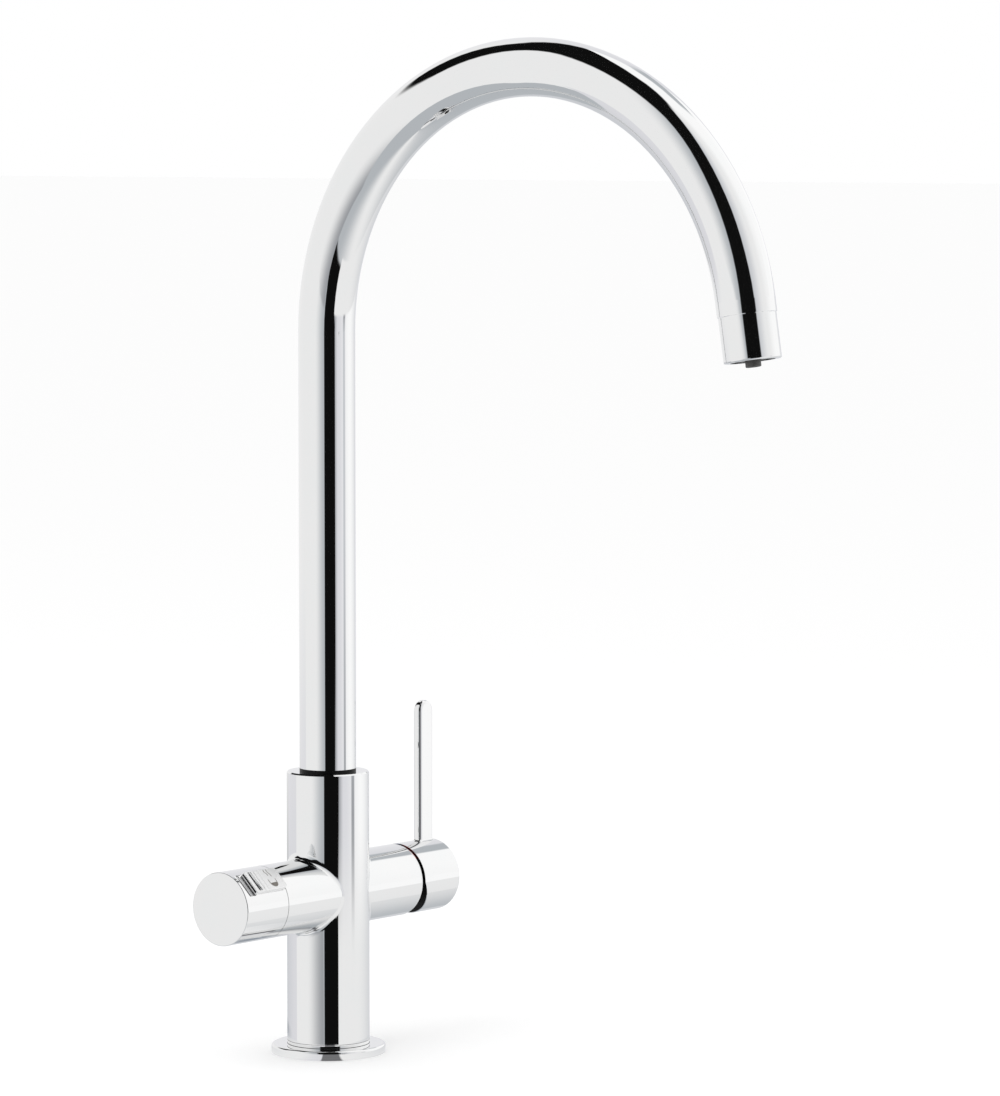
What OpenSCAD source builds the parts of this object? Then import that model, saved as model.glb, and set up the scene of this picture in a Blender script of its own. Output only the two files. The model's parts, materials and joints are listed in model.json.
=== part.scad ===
// Boiling water tap for a worktop: swan neck spout, a boiling-water handle with
// a safety slide on the left arm and a mixer lever on the right arm.
// Millimetres, +Z up, the spout reaches towards -Y, the boiling arm towards -X.

/* [Base] */
// Diameter of the base flange
base_d = 50.5; // [48:0.5:64]
// Thickness of the base flange
base_t = 4; // [2.8:0.2:6]
// Height of the hub between the flange and the column
base_hub_h = 1.6; // [1:0.2:5]
// Rounding of the flange's rim
base_edge_r = 1.2; // [0.4:0.1:1.4]

/* [Column] */
// Diameter of the column
column_d = 36.4; // [35.8:0.2:44]
// Height of the column's top above the worktop
column_h = 125; // [123:0.5:160]
// Bevel round the column's top edge
column_bevel = 0.6; // [0.2:0.1:1.2]
// Depth of the spout's socket in the column
socket_depth = 32.5; // [30:0.5:34]
// Bore of the spout's socket
socket_d = 24; // [23.6:0.1:24.4]

/* [Supplies] */
// Diameter of the shank thread under the column
shank_thread_d = 30; // [27:0.5:31]
// Length of the shank thread
shank_thread_l = 18; // [12:1:20]
// Diameter of a hose thread
hose_thread_d = 10; // [8:0.5:10.5]
// Length of a hose thread
hose_thread_l = 10; // [8:0.5:12]
// Distance of each hose thread from the column's axis
hose_circle_r = 8.3; // [7.8:0.1:8.7]
// Bore of the water passages
passage_d = 5; // [3:0.5:5.5]

/* [Arms] */
// Diameter of both arms and both handles
arm_d = 32; // [31.5:0.25:34]
// Height of the arms' axis above the worktop
arm_z = 71.4; // [64:0.2:71.6]
// Reach of the fixed boiling-water arm
boil_arm_l = 44.4; // [43:0.2:60]
// Reach of the fixed mixer arm
mixer_arm_l = 45.5; // [44.5:0.5:60]
// Radius of the blend between an arm and the column
arm_blend_r = 2.6; // [0.8:0.2:3]

/* [Spout] */
// Outside diameter of the spout tube
tube_d = 25; // [24.8:0.1:27]
// Wall of the spout tube
tube_wall = 1.25; // [1:0.05:1.4]
// Height of the bend's centre above the worktop
bend_z = 318.8; // [240:1:380]
// Radius of the bend along the tube's axis
bend_r = 114.3; // [80:1:140]
// Angle of the bend
bend_angle = 171; // [150:1:180]
// Length of the straight ferrule after the bend
tail_l = 5.8; // [2:0.2:20]
// Thickness of the black ring between the column and the tube
neck_ring_t = 1.3; // [1:0.1:3]
// Outside diameter of the boiling-water tube inside the spout
inner_tube_d = 8; // [6:0.5:8.5]

/* [Outlet] */
// Diameter of the outlet collar
collar_d = 24.2; // [24:0.1:25]
// Visible length of the outlet collar
collar_l = 19; // [15:0.1:26]
// Rounding of the collar's lower edge
collar_edge_r = 0.8; // [0.6:0.1:2]
// Diameter of the boiling-water nozzle
nozzle_d = 6.6; // [6:0.2:8]
// How far the nozzle stands below the collar
nozzle_drop = 2.5; // [1:0.1:6]

/* [Boiling handle] */
// Length of the boiling-water handle with its end cap
boil_handle_l = 26.8; // [26:0.2:34]
// Thickness of the end cap's rim
cap_rim_t = 0.8; // [0.6:0.1:1.6]
// Wall of both handles
handle_wall = 2.6; // [2.3:0.1:2.7]
// Length of the safety slide
slide_l = 20.1; // [19:0.1:20.4]
// Width of the safety slide
slide_w = 11.3; // [9:0.1:12]
// Height of the slide's face above the arm's axis
slide_h = 17.16; // [16.8:0.02:17.8]
// Angle of the slide in front of the top
slide_angle = 44; // [0:1:60]
// Travel of the safety slide
slide_travel = 4.5; // [2:0.1:4.5]

/* [Mixer handle] */
// Length of the mixer handle
mixer_handle_l = 24.3; // [24:0.1:32]
// Gap between the mixer arm and the upper rim of the handle
mixer_gap = 2.6; // [2.2:0.1:4]
// Tilt of the lever, which also slants the lower rim of the handle
tilt_angle = 22; // [15:1:24]
// Height of the lever's top above the arms' axis
lever_h = 79.3; // [50:0.5:110]
// Thickness of the lever along the arm
lever_t = 9.5; // [6:0.1:9.6]
// Width of the lever across the arm
lever_w = 4.4; // [3.6:0.1:9]
// Distance of the lever's axis from the handle's outer end
lever_inset = 6.8; // [6.8:0.1:9]

/* [Hidden] */
$fn = 96;
eps = 0.01;      // overlap of a cut past a face
cut = 1;         // length by which a bore runs out of a face
fit = 0.05;      // radial clearance of pieces that stay put
run = 0.08;      // radial clearance of pieces that turn
gap = 0.3;       // clearance of pieces that move freely

// Base and supplies
column_foot_z = base_t + base_hub_h;
lip_z = 1;                          // underside of the column's locating lip
lip_wall = 1.4;                     // wall of the lip round the shank thread
lip_r = shank_thread_d / 2 + lip_wall;
gasket_w = 2.4;                     // width of the gasket's groove
gasket_h = 1.6;                     // depth of the gasket's groove
gasket_inset = 2.2;                 // rim of the flange outside the groove
gasket_r = base_d / 2 - gasket_inset - gasket_w / 2;
chamber_h = 11;                     // room for the hose nuts above the shank thread
web_z = lip_z + shank_thread_l + chamber_h;
port_angles = [60, -60, 180];       // hot, cold and boiling supply
port_x = hose_circle_r * cos(port_angles[0]);
port_y = hose_circle_r * sin(port_angles[0]);
port_top_z = web_z + hose_thread_l;
feed_drop = 4.5;                    // feeds enter the cartridges below their axis
feed_z = arm_z - feed_drop;
cross_d = passage_d - 0.8;          // level passages are narrower than those they meet
mixed_x = 9;                        // riser of the mixed water
boil_out_z = arm_z + feed_drop;

// Spout socket and spigot
socket_r = socket_d / 2;
socket_z = column_h - socket_depth;
tube_r = tube_d / 2;
tube_bore_r = tube_r - tube_wall;
tube_foot_z = column_h + neck_ring_t;
bush_wall = 1.3;
spigot_r = socket_r - bush_wall - fit - run;
bush_r = socket_r - fit;
neck_ring_r = tube_r - 0.05;
neck_sleeve_l = 6;
lower_bush_l = 5;
lower_bush_lift = 2.5;
spigot_lift = 2;
spigot_wall = 2.8;
spigot_z = socket_z + spigot_lift;
spigot_tail_l = 14;                 // length of the spigot inside the tube
spider_w = 2;                       // web of the spider that carries the inner tube
spider_z = spigot_z + 3;
spider_l = 8;
oring_r = 1.35;                     // section radius of the spout's O-rings
oring_depth = 0.05;
oring_z = [socket_z + 11.5, socket_z + 16.5];
lock_z = column_h - 10;             // height of the lock screw's axis
lock_r = 2.5;
lock_tip_r = 1.6;
lock_tip_l = 2.4;
lock_groove_w = 4.2;
lock_groove_d = 1.6;
inner_r = inner_tube_d / 2;
inner_wall = 1;
inner_end_step = 0.15;              // the straight end is drawn down by this radius
inner_end_root = 0.5;               // and starts this far inside the bend
seat_depth = 11;                    // socket of the inner tube below the spout's socket
seat_z = socket_z - seat_depth;
inner_foot_z = seat_z + 2;
seat_oring_r = 0.9;
seat_oring_z = socket_z - 4.8;

// Outlet, measured from the end of the ferrule along the flow
ferrule_root_l = 4;                 // ferrule inside the tube's bend
ferrule_gap = 0.2;                  // room for the bend and for solder
collar_thread_r = tube_bore_r - 1.05;
seam = 0.3;                         // dark line between the ferrule and the collar
collar_thread_l = 6;
collar_bore_r = 8.6;
insert_r = 9.4;                     // flow former in the collar's mouth
insert_t = 6;
insert_recess = 1;                  // flow former behind the collar's lower face
washer_t = 1.5;
flow_holes = 12;
flow_hole_r = 1;
flow_circle_r = 7.2;
nozzle_flange_r = 5;
nozzle_flange_t = 1.5;
nozzle_bore_r = 2.2;
collar_end = seam + collar_l;
insert_z = collar_end - insert_recess - insert_t;

// Boiling arm, measured outwards from the arm's end face
arm_r = arm_d / 2;
boil_bore_r = 12.2;
boil_bore_l = 28.4;
slip_bore_r = 13.5;
slip_bore_l = 6.4;
disc_t = 3;                         // thickness of a ceramic disc
disc_gap = 0.05;                    // film between sliding ceramic faces
boil_disc_r = 9.3;
boil_seal_t = 1.5;
boil_port_r = 2.2;
boil_fixed_z = -boil_bore_l + boil_seal_t;
boil_moving_z = boil_fixed_z + disc_t + disc_gap;
spindle_flange_t = 3.4;
spindle_flange_z = boil_moving_z + disc_t + disc_gap;
spindle_r = 4.95;
spindle_key_w = 3;
spindle_key_h = 1.4;
spindle_sq = 7;                     // square that carries a handle
stem_oring_r = 0.7;
stem_oring_z = -13;
slip_top_z = -0.6;
slip_channel_depth = 2.8;
slip_wall = 0.7;
channel_in_r = 10.2;
handle_seam = 0.25;                 // dark line between the arm and its handle
hub_r = 7.5;
boil_hub_z = 4.1;
boil_hub_end = 13.9;
hub_floor_t = 1;
web_t = 4;
handle_bore_r = arm_r - handle_wall;
boil_shell_end = boil_handle_l - cap_rim_t;
cap_spigot_l = 3;
cap_edge_r = 0.35;
screw_r = 2;
screw_head_r = 3.5;
screw_head_h = 2.5;
screw_l = 8;

// Safety slide: x is the height over the arm's axis, y across, z outwards
slide_z = 0.3;
slide_t = 2;
slide_corner_r = 1.8;
slide_bed_h = slide_h - slide_t - 0.15;
slide_end = slide_z + slide_l;
bed_end = slide_end + slide_travel + gap;
scoop_r = 5.6;
scoop_depth = 0.5;
rib_pitch = 1.35;
rib_count = 3;
rib_w = 0.75;
rib_depth = [1.1, 0.7, 0.7];
rib_inset = 1.1;
line_w = 0.3;
line_depth = 0.25;
line_inset = 6.2;
slide_neck_z = 5.6;
slide_neck_l = 7;
slide_neck_w = 4.8;
latch_h = 12;
latch_t = 1.4;
latch_w = 5;
latch_tip_z = -2.9;
latch_end_z = 16.1;
latch_screw_r = 0.8;
latch_screw_inset = 1.8;
latch_head_r = 1.5;
latch_head_h = 0.7;
spring_wire_r = 0.22;
spring_r = 1.2;
spring_turns = 4;

// Mixer arm, measured outwards from the arm's end face
cart_bore_r = 12.6;
cart_bore_l = 26.5;
nut_bore_r = 13.7;
nut_bore_l = 7;
ring_bore_r = arm_r - 0.75;
ring_bore_l = 1.2;
cart_r = cart_bore_r - 0.15;
cart_seal_t = 1;
cart_foot_z = -cart_bore_l + cart_seal_t;
cart_base_t = 2.3;
cart_cavity_r = 10.9;
cart_lip_t = 2;
cart_lip_r = 8.4;
mixer_port_r = 2.4;
mixer_fixed_z = cart_foot_z + cart_base_t + fit;
mixer_moving_z = mixer_fixed_z + disc_t + disc_gap;
moving_disc_t = 5;
moving_disc_r = 8.3;
moving_disc_flat = 7.4;
pocket_gap = 0.2;                   // room round the stem's ball in its pocket
pivot_z = -6.5;                     // tilt axis of the lever
ball_r = 2.4;
ball_z = pivot_z - 10;
ball_travel = 10 * sin(tilt_angle);
stem_neck_r = 1.9;
carrier_r = 10.7;
carrier_flange_z = -14;
carrier_flange_end = -nut_bore_l - cart_lip_t - 0.2;
carrier_neck_r = 8.2;
carrier_end = -2.5;
carrier_slot = [11.9, 7.3];         // height and width of the lever's slot
carrier_slot_lift = 0.45;
lug_y = 7.7;
lug_h = 12;
pin_r = 1.5;
pin_l = 14.4;
nut_t = 5;
nut_hole_r = 9.5;
nut_slots = 6;
ring_proud = 1.4;                   // black ring in front of the arm's end face
ring_in_r = 10;
ring_out_r = ring_bore_r - 0.55;
mark_from = 26;                     // marks start and end this far from the top
mark_to = 62;
mark_t = 1;
mixer_shell_z = mixer_gap;
mixer_shell_end = mixer_gap + mixer_handle_l;
end_wall = 3;
end_edge_r = 0.9;
mixer_hub_z = 8;
socket_l = 9;
lever_z = mixer_shell_end - lever_inset;
lever_edge_r = 1.6;
lever_foot_r = 1.1;                 // blend between the lever and the handle
lever_foot_root = 0.9;              // depth of the blend's root inside both
lever_root = handle_bore_r + 0.6;
grub_z = 13.6;
grub_r = 2.5;
plug_t = 2;

chrome = "#cfd3d8";
brass = "#b8995f";
steel = "#9a9ea3";
black = "#1b1b1d";
rubber = "#2b2b2e";
ceramic = "#ece7da";
plastic = "#c9c9c4";
nozzle_grey = "#57595c";

// ---- Shared shapes ----

module ring(r_out, r_in, h) {
    difference() {
        cylinder(r = r_out, h = h);
        translate([0, 0, -cut]) cylinder(r = r_in, h = h + 2 * cut);
    }
}

// Disc whose upper edge is rounded
module puck(r, h, edge_r) {
    rotate_extrude() {
        square([r, h - edge_r]);
        square([r - edge_r, h]);
        intersection() {
            translate([r - edge_r, h - edge_r]) circle(edge_r);
            square([r, h]);
        }
    }
}

module torus(centre_r, section_r) {
    rotate_extrude() translate([centre_r, 0]) circle(section_r, $fn = 48);
}

// Arc of a ring about Z, from one angle to another
module ring_arc(r_out, r_in, h, from, to) {
    rotate([0, 0, from]) rotate_extrude(angle = to - from) translate([r_in, 0]) square([r_out - r_in, h]);
}

module bar(x, y, z) {
    translate([x[0], y[0], z[0]]) cube([x[1] - x[0], y[1] - y[0], z[1] - z[0]]);
}

// Plate with two rounded corners at its lower end, thick along x
module slide_plate(from_x, to_x, w, from_z, to_z, corner_r) {
    translate([from_x, 0, 0]) rotate([90, 0, 90]) linear_extrude(to_x - from_x) {
        translate([-w / 2, from_z + corner_r]) square([w, to_z - from_z - corner_r]);
        translate([-w / 2 + corner_r, from_z]) square([w - 2 * corner_r, to_z - from_z]);
        for (side = [-1, 1])
            translate([side * (w / 2 - corner_r), from_z + corner_r]) circle(corner_r, $fn = 48);
    }
}

// ---- Places: x up, y back, z outwards from the arm's end face ----

module on_boil_arm() { translate([-boil_arm_l, 0, arm_z]) rotate([0, -90, 0]) children(); }
module on_mixer_arm() { translate([mixer_arm_l, 0, arm_z]) mirror([1, 0, 0]) rotate([0, -90, 0]) children(); }
module on_slide() { on_boil_arm() rotate([0, 0, -slide_angle]) children(); }

// The bend turns about an axis along X; its start is above the column
module on_bend() { translate([0, -bend_r, bend_z]) rotate([90, 0, 90]) children(); }

// End of the tube, +Z along the flow
module on_outlet() {
    on_bend() rotate([0, 0, bend_angle]) translate([bend_r, 0, 0]) rotate([-90, 0, 0])
        translate([0, 0, tail_l]) children();
}

// Solid of radius r along the spout's axis, to an angle past the bend's end
module spout_path(r, from_z, past_angle) {
    translate([0, 0, from_z]) cylinder(r = r, h = bend_z - from_z);
    on_bend() rotate_extrude(angle = bend_angle + past_angle) translate([bend_r, 0]) circle(r);
}

// ---- Blend between the column and an arm ----

// A ball of radius arm_blend_r rolls round the corner; a is the angle about the arm
blend_steps = 5;
blend_sections = 60;
blend_root = 0.9;                   // depth of the blend's root inside both cylinders
blend_bite = 0.12;                  // depth of the blend's edges inside both cylinders
function blend_centre(a) = let (r = arm_r + arm_blend_r, y = r * sin(a))
    [-sqrt(pow(column_d / 2 + arm_blend_r, 2) - y * y), y, r * cos(a)];
function blend_arc(a, s) = let (
        c = blend_centre(a),
        v1 = [0, -sin(a), -cos(a)],
        v2 = -[c[0], c[1], 0] / (column_d / 2 + arm_blend_r),
        w = acos(v1 * v2))
    c + arm_blend_r * (sin((1 - s) * w) * v1 + sin(s * w) * v2) / sin(w);
function blend_root_point(a) = let (r = arm_r - blend_root, y = r * sin(a))
    [-sqrt(pow(column_d / 2 - blend_root, 2) - y * y), y, r * cos(a)];
function blend_sink(p, axis_point) = p + blend_bite * (axis_point - p) / norm(axis_point - p);
function blend_section(a) = let (p = blend_arc(a, 0), q = blend_arc(a, 1)) concat(
    [blend_root_point(a), blend_sink(p, [p[0], 0, 0])],
    [for (i = [1 : blend_steps - 1]) blend_arc(a, i / blend_steps)],
    [blend_sink(q, [0, 0, q[2]])]);

module arm_blend() {
    ring_n = blend_steps + 2;
    points = [for (k = [0 : blend_sections - 1]) each blend_section(360 * k / blend_sections)];
    faces = [for (k = [0 : blend_sections - 1], i = [0 : ring_n - 1])
        let (a = k * ring_n, b = ((k + 1) % blend_sections) * ring_n, j = (i + 1) % ring_n)
        each [[a + i, b + i, b + j], [a + i, b + j, a + j]]];
    translate([0, 0, arm_z]) polyhedron(points, faces);
}

// ---- Body ----

module base_flange() {
    color(chrome) difference() {
        union() {
            puck(base_d / 2, base_t, base_edge_r);
            cylinder(d = column_d - 2 * fit, h = column_foot_z);
        }
        translate([0, 0, -cut]) cylinder(r = lip_r + fit, h = column_foot_z + 2 * cut);
        translate([0, 0, -eps]) ring(gasket_r + gasket_w / 2, gasket_r - gasket_w / 2, gasket_h + eps);
    }
}

module base_gasket() {
    color(rubber) ring(gasket_r + gasket_w / 2 - fit, gasket_r - gasket_w / 2 + fit, gasket_h - fit);
}

module column_outside() {
    translate([0, 0, column_foot_z]) cylinder(d = column_d, h = column_h - column_foot_z - column_bevel);
    translate([0, 0, column_h - column_bevel])
        cylinder(r1 = column_d / 2, r2 = column_d / 2 - column_bevel, h = column_bevel);
    translate([0, 0, lip_z]) cylinder(r = lip_r, h = column_foot_z - lip_z + cut);
    on_boil_arm() translate([0, 0, -boil_arm_l]) cylinder(r = arm_r, h = boil_arm_l);
    on_mixer_arm() translate([0, 0, -mixer_arm_l]) cylinder(r = arm_r, h = mixer_arm_l);
    arm_blend();
    mirror([1, 0, 0]) arm_blend();
}

module supply_bores() {
    translate([0, 0, lip_z - cut]) cylinder(d = shank_thread_d, h = shank_thread_l + cut);
    translate([0, 0, lip_z]) cylinder(d = shank_thread_d - 2, h = web_z - lip_z);
    for (a = port_angles) rotate([0, 0, a]) translate([hose_circle_r, 0, 0]) {
        translate([0, 0, web_z - cut]) cylinder(d = hose_thread_d, h = hose_thread_l + cut);
        translate([0, 0, port_top_z - cut])
            cylinder(d = passage_d, h = feed_z - port_top_z + cut + passage_d / 2);
    }
}

// Riser from below one crossing up to a height
module riser(x, from_z, to_z) {
    translate([x, 0, from_z - passage_d / 2])
        cylinder(d = passage_d, h = to_z - from_z + passage_d / 2 + cut);
}

module mixer_bores() {
    floor_x = mixer_arm_l - cart_bore_l;
    for (side = [-1, 1]) translate([port_x, side * port_y, feed_z]) rotate([0, 90, 0])
        cylinder(d = cross_d, h = floor_x - port_x + cut);
    translate([mixed_x, 0, arm_z]) rotate([0, 90, 0]) cylinder(d = cross_d, h = floor_x - mixed_x + cut);
    riser(mixed_x, arm_z, socket_z);
    on_mixer_arm() {
        translate([0, 0, -cart_bore_l]) cylinder(r = cart_bore_r, h = cart_bore_l + cut);
        translate([0, 0, -nut_bore_l]) cylinder(r = nut_bore_r, h = nut_bore_l + cut);
        translate([0, 0, -ring_bore_l]) cylinder(r = ring_bore_r, h = ring_bore_l + cut);
    }
}

module boil_bores() {
    floor_x = boil_arm_l - boil_bore_l;
    translate([-hose_circle_r, 0, feed_z]) rotate([0, -90, 0])
        cylinder(d = cross_d, h = floor_x - hose_circle_r + cut);
    translate([0, 0, boil_out_z]) rotate([0, -90, 0]) cylinder(d = cross_d, h = floor_x + cut);
    riser(0, boil_out_z, seat_z);
    on_boil_arm() {
        translate([0, 0, -boil_bore_l]) cylinder(r = boil_bore_r, h = boil_bore_l + cut);
        translate([0, 0, -slip_bore_l]) cylinder(r = slip_bore_r, h = slip_bore_l + cut);
    }
}

module spout_bores() {
    translate([0, 0, socket_z]) cylinder(r = socket_r, h = socket_depth + cut);
    translate([0, 0, seat_z]) cylinder(r = inner_r + run, h = seat_depth + cut);
    translate([0, 0, seat_oring_z - seat_oring_r - fit])
        cylinder(r = inner_r + run + 2 * seat_oring_r, h = 2 * (seat_oring_r + fit));
    translate([0, socket_r - cut, lock_z]) rotate([-90, 0, 0]) cylinder(r = lock_r + fit, h = column_d / 2);
}

module tap_body() {
    color(chrome) difference() {
        column_outside();
        supply_bores();
        mixer_bores();
        boil_bores();
        spout_bores();
    }
}

module neck_ring() {
    color(black) translate([0, 0, column_h]) {
        ring(neck_ring_r, spigot_r + run, neck_ring_t);
        translate([0, 0, -neck_sleeve_l]) ring(bush_r, spigot_r + run, neck_sleeve_l + eps);
    }
}

module spout_bush() {
    color(plastic) translate([0, 0, socket_z + lower_bush_lift]) ring(bush_r, spigot_r + run, lower_bush_l);
}

// Grub screw at the back of the column; its tip runs in the spigot's groove
module spout_lock_screw() {
    tip_y = spigot_r - lock_groove_d + gap;
    body_y = tip_y + lock_tip_l;
    color(steel) translate([0, 0, lock_z]) rotate([-90, 0, 0]) difference() {
        union() {
            translate([0, 0, tip_y]) cylinder(r = lock_tip_r, h = lock_tip_l + eps);
            translate([0, 0, body_y]) cylinder(r = lock_r, h = column_d / 2 - 0.8 - body_y);
        }
        translate([0, 0, column_d / 2 - 2.8]) cylinder(r = 1.4, h = 3, $fn = 6);
    }
}

module inner_tube_seal() {
    color(rubber) translate([0, 0, seat_oring_z]) torus(inner_r + run + seat_oring_r, seat_oring_r);
}

module boil_seat_seal() {
    color(rubber) on_boil_arm() translate([0, 0, -boil_bore_l]) difference() {
        cylinder(r = boil_disc_r, h = boil_seal_t);
        disc_ports(boil_port_r + 0.4, boil_seal_t);
    }
}

// Two water ways, above and below the axis
module disc_ports(r, h) {
    for (side = [-1, 1]) translate([side * feed_drop, 0, -cut]) cylinder(r = r, h = h + 2 * cut);
}

module boil_fixed_disc() {
    color(ceramic) on_boil_arm() translate([0, 0, boil_fixed_z]) difference() {
        cylinder(r = boil_disc_r, h = disc_t);
        disc_ports(boil_port_r, disc_t);
    }
}

module boil_cartridge() {
    cavity_end = spindle_flange_z + spindle_flange_t + run;
    color(brass) on_boil_arm() translate([0, 0, -boil_bore_l]) difference() {
        cylinder(r = boil_bore_r - fit, h = boil_bore_l - slip_bore_l);
        translate([0, 0, -cut]) cylinder(r = boil_disc_r + fit, h = cavity_end + boil_bore_l + cut);
        translate([0, 0, -cut]) cylinder(r = spindle_r + run, h = boil_bore_l);
    }
}

// Ring with the channel in which the latch's tongue runs
module boil_slip_ring() {
    channel_h = slip_channel_depth;
    channel_out_r = slip_bore_r - fit - slip_wall;
    color(plastic) on_boil_arm() difference() {
        translate([0, 0, -slip_bore_l]) cylinder(r = slip_bore_r - fit, h = slip_bore_l + slip_top_z);
        translate([0, 0, slip_top_z - channel_h]) ring(channel_out_r, channel_in_r, channel_h + cut);
        translate([0, 0, -slip_bore_l - cut]) cylinder(r = spindle_r + gap, h = slip_bore_l + 2 * cut);
    }
}

// Places of the hot, cold and mixed ways in the mixer's base
module mixer_ways() {
    for (side = [-1, 1]) translate([-feed_drop, side * port_y, 0]) children();
    children();
}

module mixer_seat_seals() {
    color(rubber) on_mixer_arm() translate([0, 0, -cart_bore_l])
        mixer_ways() ring(mixer_port_r + 1.1, mixer_port_r + 0.1, cart_seal_t);
}

module mixer_cartridge() {
    cavity_end = -nut_bore_l - cart_lip_t;
    color(plastic) on_mixer_arm() difference() {
        translate([0, 0, cart_foot_z]) cylinder(r = cart_r, h = -nut_bore_l - cart_foot_z);
        translate([0, 0, cart_foot_z + cart_base_t])
            cylinder(r = cart_cavity_r, h = cavity_end - cart_foot_z - cart_base_t);
        translate([0, 0, cavity_end - cut]) cylinder(r = cart_lip_r, h = cart_lip_t + 2 * cut);
        translate([0, 0, cart_foot_z - cut])
            mixer_ways() cylinder(r = mixer_port_r, h = cart_base_t + 2 * cut);
    }
}

module mixer_fixed_disc() {
    color(ceramic) on_mixer_arm() translate([0, 0, mixer_fixed_z]) difference() {
        cylinder(r = cart_cavity_r - fit, h = disc_t);
        translate([0, 0, -cut]) mixer_ways() cylinder(r = mixer_port_r, h = disc_t + 2 * cut);
    }
}

module mixer_cartridge_nut() {
    color(brass) on_mixer_arm() translate([0, 0, -nut_bore_l]) difference() {
        ring(nut_bore_r - fit, nut_hole_r, nut_t);
        for (i = [0 : nut_slots - 1]) rotate([0, 0, 360 * i / nut_slots])
            bar([nut_hole_r - cut, nut_hole_r + 1.4], [-1.2, 1.2], [nut_t - 2, nut_t + cut]);
    }
}

module temperature_ring() {
    color(black) on_mixer_arm() difference() {
        union() {
            translate([0, 0, -nut_bore_l + nut_t])
                cylinder(r = nut_bore_r - fit, h = nut_bore_l - nut_t + ring_proud);
            translate([0, 0, -ring_bore_l]) cylinder(r = ring_out_r, h = ring_bore_l + ring_proud);
        }
        translate([0, 0, -nut_bore_l]) cylinder(r = ring_in_r, h = nut_bore_l + ring_proud + cut);
    }
}

module ring_mark(from, to) {
    on_mixer_arm() translate([0, 0, -ring_bore_l])
        ring_arc(ring_bore_r - fit, ring_out_r + fit, ring_bore_l + mark_t - 0.6, from, to);
}

// The front of the arm turns to hot and its back to cold
module hot_mark() { color("#c23b2e") ring_mark(-mark_to, -mark_from); }
module cold_mark() { color("#2f62b5") ring_mark(mark_from, mark_to); }

// ---- Spout ----

module spout_tube() {
    color(chrome) difference() {
        spout_path(tube_r, tube_foot_z, 0);
        spout_path(tube_bore_r, tube_foot_z - cut, 1);
    }
}

// Ring soldered on the tube's end, with the thread for the outlet collar
module outlet_ferrule() {
    color(chrome) on_outlet() difference() {
        union() {
            translate([0, 0, -tail_l]) cylinder(r = tube_r, h = tail_l);
            translate([0, 0, -tail_l - ferrule_root_l])
                cylinder(r = tube_bore_r - ferrule_gap, h = ferrule_root_l + eps);
        }
        translate([0, 0, -tail_l - ferrule_root_l - cut])
            cylinder(r = collar_thread_r, h = tail_l + ferrule_root_l + 2 * cut);
    }
}

module spout_spigot() {
    bore_r = spigot_r - spigot_wall;
    top_z = tube_foot_z + spigot_tail_l;
    color(brass) difference() {
        union() {
            difference() {
                union() {
                    translate([0, 0, spigot_z]) cylinder(r = spigot_r, h = tube_foot_z - spigot_z + eps);
                    translate([0, 0, tube_foot_z]) cylinder(r = tube_bore_r - fit, h = spigot_tail_l);
                }
                translate([0, 0, spigot_z - cut]) cylinder(r = bore_r, h = top_z - spigot_z + 2 * cut);
            }
            for (a = [0, 120, 240]) rotate([0, 0, a])
                bar([inner_r + 1, bore_r + 0.5], [-spider_w / 2, spider_w / 2],
                    [spider_z, spider_z + spider_l]);
            translate([0, 0, spider_z]) cylinder(r = inner_r + 1.6, h = spider_l);
        }
        translate([0, 0, spider_z - cut]) cylinder(r = inner_r + fit, h = spider_l + 2 * cut);
        for (z = oring_z) translate([0, 0, z - oring_r - fit])
            ring(spigot_r + cut, socket_r - oring_depth - 2 * oring_r - fit, 2 * (oring_r + fit));
        translate([0, 0, lock_z - lock_groove_w / 2])
            ring(spigot_r + cut, spigot_r - lock_groove_d, lock_groove_w);
    }
}

module spout_orings() {
    color(rubber) for (z = oring_z) translate([0, 0, z]) torus(socket_r - oring_depth - oring_r, oring_r);
}

// The straight end that carries the nozzle is drawn down a little
module boiling_inner_tube() {
    bore_r = inner_r - inner_wall;
    end_l = tail_l + insert_z;
    color(steel) difference() {
        union() {
            spout_path(inner_r, inner_foot_z, 0);
            inner_end(inner_r, end_l, 0);
        }
        spout_path(bore_r, inner_foot_z - cut, 0);
        inner_end(bore_r, end_l, cut);
    }
}

module inner_end(r, length, past_end) {
    on_outlet() translate([0, 0, -tail_l - inner_end_root])
        cylinder(r = r - inner_end_step, h = length + inner_end_root + past_end);
}

module outlet_collar() {
    color(chrome) on_outlet() difference() {
        union() {
            translate([0, 0, seam]) puck(collar_d / 2, collar_l, collar_edge_r);
            translate([0, 0, -collar_thread_l])
                cylinder(r = collar_thread_r - fit, h = collar_thread_l + seam + eps);
        }
        translate([0, 0, -collar_thread_l - cut])
            cylinder(r = collar_bore_r, h = collar_thread_l + collar_end + 2 * cut);
        translate([0, 0, insert_z - washer_t])
            cylinder(r = insert_r, h = insert_t + washer_t + insert_recess + cut);
    }
}

module outlet_washer() {
    color(rubber) on_outlet() translate([0, 0, insert_z - washer_t])
        ring(insert_r - fit, insert_r - 2, washer_t);
}

module flow_former() {
    color(black) on_outlet() translate([0, 0, insert_z]) difference() {
        cylinder(r = insert_r - fit, h = insert_t);
        translate([0, 0, -cut]) cylinder(r = nozzle_d / 2 + fit, h = insert_t + 2 * cut);
        translate([0, 0, -eps]) cylinder(r = nozzle_flange_r + fit, h = nozzle_flange_t + eps);
        for (i = [0 : flow_holes - 1]) rotate([0, 0, 360 * i / flow_holes])
            translate([flow_circle_r, 0, -cut]) cylinder(r = flow_hole_r, h = insert_t + 2 * cut, $fn = 24);
    }
}

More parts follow.
